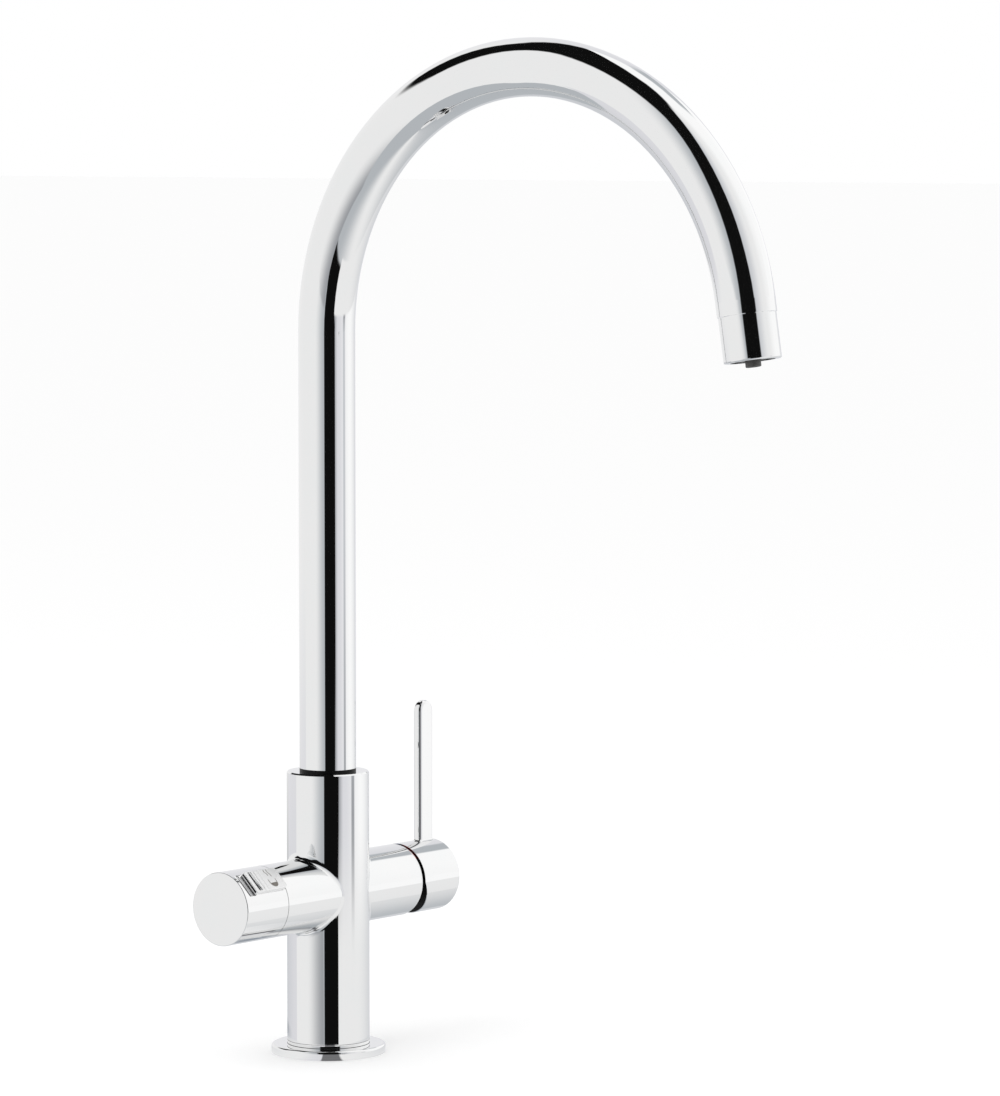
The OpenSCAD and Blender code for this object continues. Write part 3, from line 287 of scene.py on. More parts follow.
@dataclass
class Studio:
    """White studio with large soft boxes at both sides and a black flag in front."""

    floor_size: float = 60.0
    floor_drop: float = 0.0002      # the floor lies just under the flange
    floor_glow: float = 0.22        # lifts the paper to plain white around the shadow
    foot_drop: float = 0.00012
    foot_radius: float = 0.052      # the part of the table that only the flange's rim shows
    foot_tones: Tones = ((-180, Grey.HAZE), (-40, Grey.PAPER), (-6.6, Grey.WALL), (-5.9, Grey.SHADOW),
                         (16, Grey.SHADOW), (17.5, Grey.PAPER), (180, Grey.HAZE))
    shade_place: tuple[float, float, float] = (0.017, 0.024, 0.0065)    # the tap's own shade behind it
    shade_radius: tuple[float, float] = (0.010, 0.038)
    shade_grey: str = "#8b9199"
    lamp_size: float = 1.4
    lamp_power: float = 7.0         # W
    lamp_place: tuple[float, float, float] = (-0.8, 0.9, 1.7)   # to the right, towards the camera, up
    lamp_aim: float = 0.15          # height of the place that it lights
    around_level: float = 0.85
    chrome_shows: float = 0.83      # share of a panel's light that comes back from chrome
    panels: tuple[Panel, ...] = (
        # the table top close to the tap, bright where the right soft box lights it
        Panel((-200, 560), (-95, -27), 4, 2.5, ((0, Grey.DIM), (75, Grey.PAPER), (180, Grey.DIM)),
              behind=True),
        # left soft box, its foot, and the table in front of it
        Panel((-103, -22), (-4, 54), 13, 4, ((-60, Grey.PAPER), (-22, Grey.DIM))),
        Panel((-103, -9), (-18, 4.5), 7, 2, ((-48, Grey.PAPER), (-9, Grey.DIM))),
        Panel((-103, -11), (-46, -8.2), 1.5, 1.6, ((-60, Grey.PAPER), (-11, Grey.SHADE))),
        # right soft box, its foot with a stand in front, and the table in front of it
        Panel((28, 190), (-4, 78), 34, 4, ((28, Grey.HAZE), (70, Grey.PAPER), (110, Grey.LIT))),
        Panel((32.2, 200), (-16, 3.5), 4, 1.8,
              ((31, Grey.SHADE), (47, Grey.WALL), (105, Grey.LIT), (180, Grey.HAZE)), behind=True),
        Panel((15, 34.8), (-6.4, 4), 0.8, 1.6, ((15, Grey.FLAG),)),
        Panel((71, 81), (-16, 5), 4, 4, ((71, Grey.SHADE),), ((71, Grey.HAZE),), (-8, -4)),
        # wall behind, and the window's frame that darkens it on the right
        Panel((160, 215), (-8.2, 49), 5, 4, ((160, Grey.WALL), (215, Grey.PAPER)), behind=True),
        Panel((213, 262), (-12, 26), 5, 4, ((213, Grey.WALL),), ((213, Grey.PAPER),), (-8, -4.5),
              behind=True),
        Panel((139, 163), (33, 52), 5, 6, ((139, Grey.DIM),)),
        # the table's far part, from the right round to the left
        Panel((30.3, 262), (-30, -8.2), 1.2, 1.6, ((90, Grey.PAPER), (190, Grey.HAZE), (262, Grey.WALL)),
              behind=True),
    )

    @property
    def panel_light(self) -> float:
        """Gives the strength at which a grey comes back from chrome as it is written."""
        return 1 / self.chrome_shows

    def build(self) -> None:
        """Builds the world, the floor, the table near the tap and the lamp."""
        self.world()
        self.floor()
        self.table_foot()
        self.table_shade()
        self.lamp()
        bpy.context.scene.view_settings.view_transform = "Standard"

    def world(self) -> None:
        """White for the camera, the panels for metal, an even white for everything else."""
        world = bpy.data.worlds.new("studio")
        bpy.context.scene.world = world
        world.use_nodes = True
        tree = world.node_tree
        tree.nodes.clear()
        ray = add_node(tree, "ShaderNodeTexCoord").outputs["Generated"]
        parts = [add_node(tree, "ShaderNodeVectorMath", {"operation": "DOT_PRODUCT"},
                          {0: ray, 1: axis}).outputs["Value"]
                 for axis in (RIGHT, HEADING, Vector((0, 0, 1)))]
        azimuth = add_node(tree, "ShaderNodeMath", {"operation": "ARCTAN2"}, {0: parts[0], 1: parts[1]})
        elevation = add_node(tree, "ShaderNodeMath", {"operation": "ARCSINE"}, {0: parts[2]})
        degrees = [add_node(tree, "ShaderNodeMath", {"operation": "MULTIPLY"},
                            {0: angle.outputs[0], 1: 180 / math.pi}).outputs[0]
                   for angle in (azimuth, elevation)]
        left_half = add_node(tree, "ShaderNodeMath", {"operation": "LESS_THAN"}, {0: degrees[0], 1: 0.0})
        full_turn = add_node(tree, "ShaderNodeMath", {"operation": "MULTIPLY_ADD"},
                             {0: left_half.outputs[0], 1: 360.0, 2: degrees[0]}).outputs[0]
        colour = linear(Grey.FLAG.value)
        for panel in self.panels:
            turn = full_turn if panel.behind else degrees[0]
            colour = self.panel_over(tree, colour, panel, turn, degrees[1])
        rays = add_node(tree, "ShaderNodeLightPath").outputs
        metal = add_node(tree, "ShaderNodeBackground", None, {"Color": colour, "Strength": self.panel_light})
        sight = add_node(tree, "ShaderNodeBackground", None, {"Color": linear(WHITE), "Strength": 1.0})
        around = add_node(tree, "ShaderNodeBackground", None,
                          {"Color": linear(WHITE), "Strength": self.around_level})
        seen = add_node(tree, "ShaderNodeMixShader", None,
                        {0: rays["Is Camera Ray"], 1: around.outputs[0], 2: sight.outputs[0]})
        passed = add_node(tree, "ShaderNodeMath", {"operation": "MAXIMUM"},
                          {0: rays["Is Glossy Ray"], 1: rays["Is Transmission Ray"]})
        final = add_node(tree, "ShaderNodeMixShader", None,
                         {0: passed.outputs[0], 1: seen.outputs[0], 2: metal.outputs[0]})
        add_node(tree, "ShaderNodeOutputWorld", None, {"Surface": final.outputs[0]})

    def panel_over(self, tree: bpy.types.NodeTree, under: object, panel: Panel,
                   azimuth: bpy.types.NodeSocket, elevation: bpy.types.NodeSocket) -> bpy.types.NodeSocket:
        """Lays one panel over what the metal sees so far.

        Args:
            tree: the world's nodes.
            under: colour or socket below the panel.
            panel: the panel.
            azimuth: azimuth of the ray.
            elevation: elevation of the ray.

        Returns:
            The colour socket with the panel on top.
        """
        flow = add_node(tree, "ShaderNodeCombineXYZ", None, {"X": azimuth, "Y": elevation}).outputs[0]
        centre = (sum(panel.azimuth) / 2, sum(panel.elevation) / 2, 0)
        half = ((panel.azimuth[1] - panel.azimuth[0]) / 2 - panel.corner,
                (panel.elevation[1] - panel.elevation[0]) / 2 - panel.corner, 0)
        steps = (("SUBTRACT", centre), ("ABSOLUTE", None), ("SUBTRACT", half), ("MAXIMUM", (0, 0, 0)))
        for operation, other in steps:
            inputs = {0: flow} if other is None else {0: flow, 1: other}
            flow = add_node(tree, "ShaderNodeVectorMath", {"operation": operation}, inputs).outputs["Vector"]
        distance = add_node(tree, "ShaderNodeVectorMath", {"operation": "LENGTH"}, {0: flow}).outputs["Value"]
        mask = add_node(tree, "ShaderNodeMapRange", {"interpolation_type": "SMOOTHSTEP"},
                        {"Value": distance, "From Min": panel.corner - panel.soft / 2,
                         "From Max": panel.corner + panel.soft / 2, "To Min": 1.0, "To Max": 0.0})
        tone = self.tones(tree, panel.tones, azimuth)
        if panel.top:
            height = add_node(tree, "ShaderNodeMapRange", {"interpolation_type": "SMOOTHSTEP"},
                              {"Value": elevation, "From Min": panel.rise[0], "From Max": panel.rise[1]})
            top = self.tones(tree, panel.top, azimuth)
            tone = add_node(tree, "ShaderNodeMix", {"data_type": "RGBA"},
                            {0: height.outputs[0], 6: tone, 7: top}).outputs[2]
        mix = add_node(tree, "ShaderNodeMix", {"data_type": "RGBA"}, {0: mask.outputs[0], 6: under, 7: tone})
        return mix.outputs[2]

    @staticmethod
    def tones(tree: bpy.types.NodeTree, tones: Tones, azimuth: bpy.types.NodeSocket) -> object:
        """Runs greys along the azimuth.

        Args:
            tree: the world's nodes.
            tones: azimuths with their greys, or a single grey.
            azimuth: azimuth of the ray.

        Returns:
            The grey at the ray's azimuth, as a socket, or as a colour if there is only one.
        """
        first, last = tones[0][0], tones[-1][0]
        if first == last:
            return linear(tones[0][1].value)
        place = add_node(tree, "ShaderNodeMapRange", None,
                         {"Value": azimuth, "From Min": first, "From Max": last})
        ramp = add_node(tree, "ShaderNodeValToRGB", None, {"Fac": place.outputs[0]})
        ramp.color_ramp.interpolation = "EASE"
        while len(ramp.color_ramp.elements) < len(tones):
            ramp.color_ramp.elements.new(0.5)
        for element, (angle, grey) in zip(ramp.color_ramp.elements, tones):
            element.position = (angle - first) / (last - first)
            element.color = linear(grey.value)
        return ramp.outputs["Color"]

    def floor(self) -> None:
        """White floor that keeps the tap's shadow; the metal sees the world's table top instead."""
        bpy.ops.mesh.primitive_plane_add(size=self.floor_size, location=(0, 0, -self.floor_drop))
        floor = bpy.context.object
        floor.name = "floor"
        material = bare_material("white_sweep")
        tree = material.node_tree
        rays = add_node(tree, "ShaderNodeLightPath").outputs
        paper = add_node(tree, "ShaderNodeBsdfDiffuse", None, {"Color": linear("#f2f2f2")})
        glow = add_node(tree, "ShaderNodeEmission", None,
                        {"Color": linear(WHITE), "Strength": self.floor_glow})
        white = add_node(tree, "ShaderNodeAddShader", None, {0: paper.outputs[0], 1: glow.outputs[0]})
        nothing = add_node(tree, "ShaderNodeBsdfTransparent")
        final = add_node(tree, "ShaderNodeMixShader", None,
                         {0: rays["Is Glossy Ray"], 1: white.outputs[0], 2: nothing.outputs[0]})
        add_node(tree, "ShaderNodeOutputMaterial", None, {"Surface": final.outputs[0]})
        floor.data.materials.append(material)

    @staticmethod
    def disc(name: str, radius: float, place: tuple[float, float, float], corners: int,
             material: bpy.types.Material) -> bpy.types.Object:
        """Lays a flat disc that only metal sees.

        Args:
            name: its name.
            radius: its radius.
            place: its middle.
            corners: number of its corners.
            material: its material.

        Returns:
            The disc.
        """
        bpy.ops.object.select_all(action="DESELECT")
        bpy.ops.mesh.primitive_circle_add(vertices=corners, radius=radius, fill_type="NGON", location=place)
        disc = bpy.context.object
        disc.name = name
        disc.visible_camera = disc.visible_diffuse = disc.visible_shadow = False
        disc.data.materials.append(material)
        return disc

    def table_foot(self) -> None:
        """Lays the table round the tap: white, with the flag's shadow in front."""
        material = bare_material("glossy_white_table")
        foot = self.disc("table_foot", self.foot_radius, (0, 0, -self.foot_drop), 96, material)
        tree = material.node_tree
        place = add_node(tree, "ShaderNodeTexCoord").outputs["Object"]
        parts = [add_node(tree, "ShaderNodeVectorMath", {"operation": "DOT_PRODUCT"},
                          {0: place, 1: axis}).outputs["Value"] for axis in (RIGHT, HEADING)]
        turn = add_node(tree, "ShaderNodeMath", {"operation": "ARCTAN2"}, {0: parts[0], 1: parts[1]})
        degrees = add_node(tree, "ShaderNodeMath", {"operation": "MULTIPLY"},
                           {0: turn.outputs[0], 1: 180 / math.pi}).outputs[0]
        tone = self.tones(tree, self.foot_tones, degrees)
        white = add_node(tree, "ShaderNodeEmission", None, {"Color": tone, "Strength": self.panel_light})
        add_node(tree, "ShaderNodeOutputMaterial", None, {"Surface": white.outputs[0]})

    def table_shade(self) -> None:
        """Lays the shaded patch behind the tap, which shows from above in the left arm's underside."""
        material = bare_material("table_in_shade")
        shade = self.disc("table_shade", self.shade_radius[1], self.shade_place, 64, material)
        tree = material.node_tree
        place = add_node(tree, "ShaderNodeTexCoord").outputs["Object"]
        reach = add_node(tree, "ShaderNodeVectorMath", {"operation": "LENGTH"}, {0: place}).outputs["Value"]
        fade = add_node(tree, "ShaderNodeMapRange", {"interpolation_type": "SMOOTHSTEP"},
                        {"Value": reach, "From Min": self.shade_radius[0], "From Max": self.shade_radius[1]})
        below = add_node(tree, "ShaderNodeNewGeometry").outputs["Backfacing"]
        gone = add_node(tree, "ShaderNodeMath", {"operation": "MAXIMUM"}, {0: fade.outputs[0], 1: below})
        grey = add_node(tree, "ShaderNodeEmission", None,
                        {"Color": linear(self.shade_grey), "Strength": self.panel_light})
        clear = add_node(tree, "ShaderNodeBsdfTransparent")
        final = add_node(tree, "ShaderNodeMixShader", None,
                         {0: gone.outputs[0], 1: grey.outputs[0], 2: clear.outputs[0]})
        add_node(tree, "ShaderNodeOutputMaterial", None, {"Surface": final.outputs[0]})

    def lamp(self) -> None:
        """Broad overhead lamp that gives the floor its soft shadow."""
        data = bpy.data.lights.new("overhead", "AREA")
        data.shape, data.size, data.energy = "DISK", self.lamp_size, self.lamp_power
        lamp = bpy.data.objects.new("overhead", data)
        bpy.context.scene.collection.objects.link(lamp)
        aside, ahead, up = self.lamp_place
        lamp.location = HEADING * ahead + RIGHT * aside + Vector((0, 0, up))
        lamp.rotation_mode = "QUATERNION"
        lamp.rotation_quaternion = (Vector((0, 0, self.lamp_aim)) - lamp.location).to_track_quat("-Z", "Y")
        lamp.visible_glossy = False
        lamp.visible_camera = False


@dataclass
class PhotoCamera:
    """Camera at the photograph's place, fitted to the tap's outlines."""

    distance: float = 2.3272
    aside: float = 0.0759
    height: float = 0.22335
    lens: float = 173.98
    sensor: float = 36.0
    clip: tuple[float, float] = (0.05, 80.0)    # nearest and farthest that it sees, in metres

    def build(self) -> None:
        """Makes the camera and gives it to the scene."""
        tilt = math.radians(CAMERA_ELEVATION)
        back = HEADING * math.cos(tilt) + Vector((0, 0, math.sin(tilt)))
        data = bpy.data.cameras.new("photo_camera")
        data.lens, data.sensor_width = self.lens, self.sensor
        data.clip_start, data.clip_end = self.clip
        camera = bpy.data.objects.new("photo_camera", data)
        bpy.context.scene.collection.objects.link(camera)
        camera.location = RIGHT * self.aside + Vector((0, 0, self.height)) + back * self.distance
        camera.rotation_mode = "QUATERNION"
        camera.rotation_quaternion = (-back).to_track_quat("-Z", "Y")
        bpy.context.scene.camera = camera


def only(piece: bpy.types.Object) -> None:
    """Selects one piece and nothing else."""
    bpy.ops.object.select_all(action="DESELECT")
    piece.select_set(True)
    bpy.context.view_layer.objects.active = piece


def settle(piece: bpy.types.Object) -> None:
    """Puts the piece's place, turn and size into its mesh."""
    only(piece)
    bpy.ops.object.transform_apply(location=True, rotation=True, scale=True)


def pick(piece: bpy.types.Object, kind: str, test: Callable[[Vector, Vector], bool]) -> None:
    """Selects faces, edges or points in edit mode by their place.

    Args:
        piece: the piece, which is left in edit mode.
        kind: FACE, EDGE or VERT.
        test: says whether to take a face by its centre and normal, an edge by its two ends, or a
            point by its place, given twice.
    """
    only(piece)
    bpy.ops.object.mode_set(mode="EDIT")
    bpy.ops.mesh.select_mode(type=kind)
    bpy.ops.mesh.select_all(action="DESELECT")
    bpy.ops.object.mode_set(mode="OBJECT")
    points = piece.data.vertices
    if kind == "FACE":
        for face in piece.data.polygons:
            face.select = test(face.center, face.normal)
    elif kind == "VERT":
        for point in points:
            point.select = test(point.co, point.co)
    else:
        for edge in piece.data.edges:
            edge.select = test(points[edge.vertices[0]].co, points[edge.vertices[1]].co)
    bpy.ops.object.mode_set(mode="EDIT")


def pick_all(piece: bpy.types.Object) -> None:
    """Selects all of a piece in edit mode."""
    only(piece)
    bpy.ops.object.mode_set(mode="EDIT")
    bpy.ops.mesh.select_all(action="SELECT")


def leave() -> None:
    """Goes back to object mode."""
    bpy.ops.object.mode_set(mode="OBJECT")


def round_edges(radius: float, segments: int) -> None:
    """Rounds the edges that are selected and goes back to object mode."""
    bpy.ops.mesh.bevel(offset=radius, segments=segments, affect="EDGES")
    leave()


def add_box(place: tuple[float, float, float], size: tuple[float, float, float]) -> bpy.types.Object:
    """Adds a box to model from.

    Args:
        place: its middle.
        size: its sides.

    Returns:
        The box, with its place and size in its mesh.
    """
    bpy.ops.object.select_all(action="DESELECT")
    bpy.ops.mesh.primitive_cube_add(size=1, location=place)
    box = bpy.context.object
    box.scale = size
    settle(box)
    return box


def add_sleeve(radii: tuple[float, float], length: float, start: float, corners: int) -> bpy.types.Object:
    """Adds a hollow sleeve about the z axis to model from.

    Args:
        radii: inner and outer radius.
        length: its length.
        start: height of its lower end.
        corners: number of corners round it.

    Returns:
        The sleeve.
    """
    bpy.ops.object.select_all(action="DESELECT")
    bpy.ops.mesh.primitive_cylinder_add(vertices=corners, radius=radii[1], depth=length,
                                        end_fill_type="NOTHING", location=(0, 0, start + length / 2))
    sleeve = bpy.context.object
    settle(sleeve)
    wall = sleeve.modifiers.new("wall", "SOLIDIFY")
    wall.thickness, wall.offset = radii[1] - radii[0], -1.0
    bpy.ops.object.modifier_apply(modifier=wall.name)
    return sleeve


def finish_piece(piece: bpy.types.Object, name: str, body: str, finish: Finishes,
                 smooth: float = 35.0) -> None:
    """Names and dresses a finished piece, and lets it ride on its body.

    Args:
        piece: the piece, with its place in its mesh.
        name: its name.
        body: the body that carries it.
        finish: its finish.
        smooth: angle below which its edges are shaded smooth, in degrees.
    """
    only(piece)
    piece.name = piece.data.name = name
    bpy.ops.object.shade_smooth_by_angle(angle=math.radians(smooth))
    piece.data.materials.clear()
    piece.data.materials.append(finish.value.material())
    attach(piece, body)
    log.info("%s: %d faces, rides on %s", name, len(piece.data.polygons), body)


@dataclass
class SafetySlide:
    """Ribbed safety pad on the boiling-water handle, with its hot-drink sign.

    It is modelled in millimetres with x up from the arm's axis, y across and z outwards along the
    arm, and then set in its place on the handle.
    """

    arm_end: float = 44.4
    arm_height: float = ARM_HEIGHT
    angle: float = 44.0
    face: float = 17.16                 # height of the pad's face above the arm's axis
    thick: float = 2.0
    width: float = 11.3
    inner_z: float = 0.3
    outer_z: float = 20.4
    inner_corner: float = 1.8
    outer_corner: float = 0.5
    rim: float = 0.28                   # rounding of the outline
    slot_z: tuple[float, float] = (16.35, 18.45)
    slot_half: float = 5.1
    slot_depth: float = 1.0
    slot_corner: float = 0.45
    slot_rim: float = 0.16
    deep: float = 0.5                   # deeper grooves get round corners and rims
    line_z: tuple[tuple[float, float, float], ...] = ((14.7, 15.05, 0.4), (12.2, 12.4, 0.15))
    neck: tuple[float, float, float, float] = (12.05, 2.4, 5.6, 12.6)   # lowest x, half width, z from, z to
    lip_shade_x: tuple[float, float] = (15.6, 16.5)     # heights of the black block under the outer end's lip, which paints the shade there
    lip_shade_l: float = 1.1
    lip_shade_play: float = 0.01            # between the black block and its groove, above and below
    lip_shade_side: float = 0.02            # the same at its two sides
    lip_shade_back: float = 0.1             # how far its end lies behind the pad's
    lip_shade_round: float = 0.08
    neck_bite: float = 0.1              # how far the neck reaches into the pad
    neck_round: float = 0.3
    print_lift: float = 0.012           # middle of the print above the face
    print_thick: float = 0.05
    cup_z: float = 7.15
    cup_r: float = 2.35
    cup_wall: float = 0.32
    cup_y: tuple[float, float, float] = (-0.1, -1.75, -2.1)     # rim, drink, start of the round bottom
    drink_tilt: float = 0.06
    curls: tuple[tuple[float, float], ...] = ((8.55, 1.9), (6.75, 1.2))     # place and lower end of each
    curl_top: float = 4.95
    curl_width: float = 0.34
    curl_swing: float = 0.26
    curl_lean: float = 0.035            # how far each step moves sideways besides the swing
    curl_steps: int = 18

    def place(self) -> Matrix:
        """Gives the turn and place of the slide's own frame, from millimetres to metres."""
        turn = math.radians(self.angle)
        across = Vector((0, math.cos(turn), math.sin(turn)))
        up = Vector((0, -math.sin(turn), math.cos(turn)))
        frame = Matrix((up, across, Vector((-1, 0, 0)))).transposed() * MM
        return Matrix.Translation(Vector((-self.arm_end, 0, self.arm_height)) * MM) @ frame.to_4x4()

    def build(self) -> None:
        """Builds the pad and the sign."""
        pad = self.pad()
        finish_piece(pad, "safety_pad", "safety_button", Finishes.SATIN)
        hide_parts("safety_slide")
        self.brighten_slot(pad)
        # the black block under the pad's lip is painted shade
        finish_piece(self.lip_shade(), "slide_lip_shade", "safety_button", Finishes.ACETAL)
        finish_piece(self.sign(), "hot_drink_sign", "safety_button", Finishes.ENAMEL)

    def pad(self) -> bpy.types.Object:
        """Models the pad: a rounded plate with a thumb slot and two fine lines across its face.

        Returns:
            The pad in its place.
        """
        low, middle = self.face - self.thick, (self.inner_z + self.outer_z) / 2
        pad = add_box((self.face - self.thick / 2, 0, middle),
                      (self.thick, self.width, self.outer_z - self.inner_z))
        for end, corner in ((self.inner_z, self.inner_corner), (self.outer_z, self.outer_corner)):
            pick(pad, "EDGE", lambda a, b, end=end: abs(a.x - b.x) > 1 and abs(a.z - end) < NEAR
                 and abs(b.z - end) < NEAR and abs(abs(a.y) - self.width / 2) < NEAR)
            round_edges(corner, 10)
        pick(pad, "EDGE", lambda a, b: abs(a.x - self.face) < NEAR and abs(b.x - self.face) < NEAR)
        round_edges(self.rim, 4)
        for from_z, to_z, depth in ((*self.slot_z, self.slot_depth), *self.line_z):
            self.groove(pad, from_z, to_z, depth)
        self.undercut(pad)
        self.add_neck(pad, low)
        pad.matrix_world = self.place()
        settle(pad)
        return pad

    def brighten_slot(self, pad: bpy.types.Object) -> None:
        """Gives the milled thumb slot the bright plate, which the pearl blasting doesn't reach."""
        pad.data.materials.append(Finishes.CHROME.value.material())
        to_slide = self.place().inverted()
        for face in pad.data.polygons:
            place = to_slide @ face.center
            if self.slot_z[0] - 0.2 < place.z < self.slot_z[1] + 0.2 and place.x < self.face - 0.002 and \
                    place.x > self.face - self.slot_depth - NEAR and abs(place.y) < self.slot_half + 0.1:
                face.material_index = 1

    def groove(self, pad: bpy.types.Object, from_z: float, to_z: float, depth: float) -> None:
        """Sinks a closed groove into the pad's face.

        Args:
            pad: the pad in its own frame.
            from_z: inner edge of the groove.
            to_z: outer edge of the groove.
            depth: its depth.
        """
        for co, no in (((0, 0, from_z), (0, 0, 1)), ((0, 0, to_z), (0, 0, 1)),
                       ((0, -self.slot_half, 0), (0, 1, 0)), ((0, self.slot_half, 0), (0, 1, 0))):
            pick(pad, "FACE", lambda centre, normal: normal.x > 0.99 and abs(centre.x - self.face) < NEAR)
            bpy.ops.mesh.bisect(plane_co=co, plane_no=no)
            leave()
        pick(pad, "FACE", lambda centre, normal: normal.x > 0.99 and abs(centre.x - self.face) < NEAR
             and from_z < centre.z < to_z and abs(centre.y) < self.slot_half)
        bpy.ops.mesh.extrude_region_move(TRANSFORM_OT_translate={"value": (-depth, 0, 0)})
        leave()
        if depth > self.deep:
            pick(pad, "EDGE", lambda a, b: abs(a.x - b.x) > depth - NEAR
                 and abs(abs(a.y) - self.slot_half) < NEAR
                 and from_z - NEAR < a.z < to_z + NEAR and abs(a.z - b.z) < NEAR)
            round_edges(self.slot_corner, 5)
            pick(pad, "EDGE", lambda a, b: abs(a.x - b.x) < NEAR and from_z - NEAR < a.z < to_z + NEAR
                 and from_z - NEAR < b.z < to_z + NEAR and max(abs(a.y), abs(b.y)) < self.slot_half + NEAR)
            round_edges(self.slot_rim, 3)

    def undercut(self, pad: bpy.types.Object) -> None:
        """Sinks a groove across the pad's outer end, in which the black block of painted shade sits."""
        for height in self.lip_shade_x:
            pick(pad, "FACE", lambda centre, normal: normal.z > 0.99 and centre.z > self.outer_z - NEAR)
            bpy.ops.mesh.bisect(plane_co=(height, 0, 0), plane_no=(1, 0, 0))
            leave()
        pick(pad, "FACE", lambda centre, normal: normal.z > 0.99 and centre.z > self.outer_z - NEAR
             and self.lip_shade_x[0] < centre.x < self.lip_shade_x[1])
        bpy.ops.mesh.extrude_region_move(TRANSFORM_OT_translate={"value": (0, 0, -self.lip_shade_l)})
        leave()

    def lip_shade(self) -> bpy.types.Object:
        """Models a black block in the pad's outer end, which paints the shade under the lip.

        Returns:
            The black block in its place.
        """
        low, top = self.lip_shade_x[0] + self.lip_shade_play, self.lip_shade_x[1] - self.lip_shade_play
        middle = self.outer_z - self.lip_shade_l / 2
        lip_shade = add_box(((top + low) / 2, 0, middle),
                        (top - low, self.width - 2 * (self.outer_corner + self.lip_shade_side),
                         self.lip_shade_l - 2 * self.lip_shade_back))
        pick(lip_shade, "EDGE", lambda a, b: min(a.z, b.z) > middle)
        round_edges(self.lip_shade_round, 3)
        lip_shade.matrix_world = self.place()
        settle(lip_shade)
        return lip_shade

    def add_neck(self, pad: bpy.types.Object, low: float) -> None:
        """Joins the neck, which reaches through the handle to the latch, to the pad.

        Args:
            pad: the pad in its own frame.
            low: height of the pad's underside.
        """
        foot, half, from_z, to_z = self.neck
        top = low + self.neck_bite
        neck = add_box(((foot + top) / 2, 0, (from_z + to_z) / 2), (top - foot, 2 * half, to_z - from_z))
        pick(neck, "EDGE", lambda a, b: abs(a.x - b.x) > 1)
        round_edges(self.neck_round, 3)
        only(pad)
        neck.select_set(True)
        bpy.ops.object.join()

    def sign(self) -> bpy.types.Object:
        """Models the printed sign: a cup, filled to its middle, under two curls of steam.

        Returns:
            The sign in its place.
        """
        parts = [self.cup(), *(self.steam(z, end) for z, end in self.curls)]
        only(parts[0])
        for part in parts[1:]:
            part.select_set(True)
        bpy.ops.object.join()
        sign = bpy.context.object
        thick = sign.modifiers.new("print", "SOLIDIFY")
        thick.thickness, thick.offset = self.print_thick, 0.0
        bpy.ops.object.modifier_apply(modifier=thick.name)
        sign.matrix_world = self.place()
        settle(sign)
        return sign

    def cup(self) -> bpy.types.Object:
        """Models the cup flat on the pad's face: rounded walls and the drink in them.

        Returns:
            The cup.
        """
        rim, level, base = self.cup_y
        inside = self.cup_r - self.cup_wall
        bpy.ops.object.select_all(action="DESELECT")
        bpy.ops.mesh.primitive_circle_add(vertices=64, radius=self.cup_r, fill_type="NGON",
                                          location=(self.face + self.print_lift, base, self.cup_z),
                                          rotation=(0, math.radians(90), 0))
        cup = bpy.context.object
        settle(cup)
        pick_all(cup)
        bpy.ops.mesh.bisect(plane_co=(0, base, 0), plane_no=(0, 1, 0), use_fill=False, clear_outer=True)
        leave()
        pick(cup, "EDGE", lambda a, b: abs(a.y - base) < NEAR and abs(b.y - base) < NEAR)
        bpy.ops.mesh.extrude_region_move(TRANSFORM_OT_translate={"value": (0, rim - base, 0)})
        leave()
        pick(cup, "FACE", lambda centre, normal: True)
        bpy.ops.mesh.dissolve_limited(angle_limit=math.radians(1))
        bpy.ops.mesh.select_all(action="SELECT")
        bpy.ops.mesh.inset(thickness=self.cup_wall, use_boundary=True)
        bpy.ops.mesh.bisect(plane_co=(0, level, 0), plane_no=(0, 1, self.drink_tilt))
        leave()
        pick(cup, "FACE", lambda centre, normal: centre.y > level and abs(centre.z - self.cup_z) < inside)
        bpy.ops.mesh.delete(type="FACE")
        leave()
        return cup

    def steam(self, z: float, end: float) -> bpy.types.Object:
        """Models one curl of steam as a ribbon that swings twice.

        Args:
            z: place of its middle along the pad.
            end: its lower end.

        Returns:
            The ribbon.
        """
        bpy.ops.object.select_all(action="DESELECT")
        bpy.ops.mesh.primitive_plane_add(size=self.curl_width,
                                         location=(self.face + self.print_lift, self.curl_top, z),
                                         rotation=(0, math.radians(90), 0))
        ribbon = bpy.context.object
        settle(ribbon)
        step, phase = (end - self.curl_top) / self.curl_steps, 2 * math.pi / self.curl_steps
        edge = min(point.co.y for point in ribbon.data.vertices)
        close = NEAR / 100
        for index in range(self.curl_steps):
            turn = (math.sin(phase * (index + 1)) - math.sin(phase * index)) * self.curl_swing
            pick(ribbon, "EDGE", lambda a, b, edge=edge: max(abs(a.y - edge), abs(b.y - edge)) < close)
            move = (0, step, turn - self.curl_lean)
            bpy.ops.mesh.extrude_region_move(TRANSFORM_OT_translate={"value": move})
            leave()
            edge += step
        return ribbon


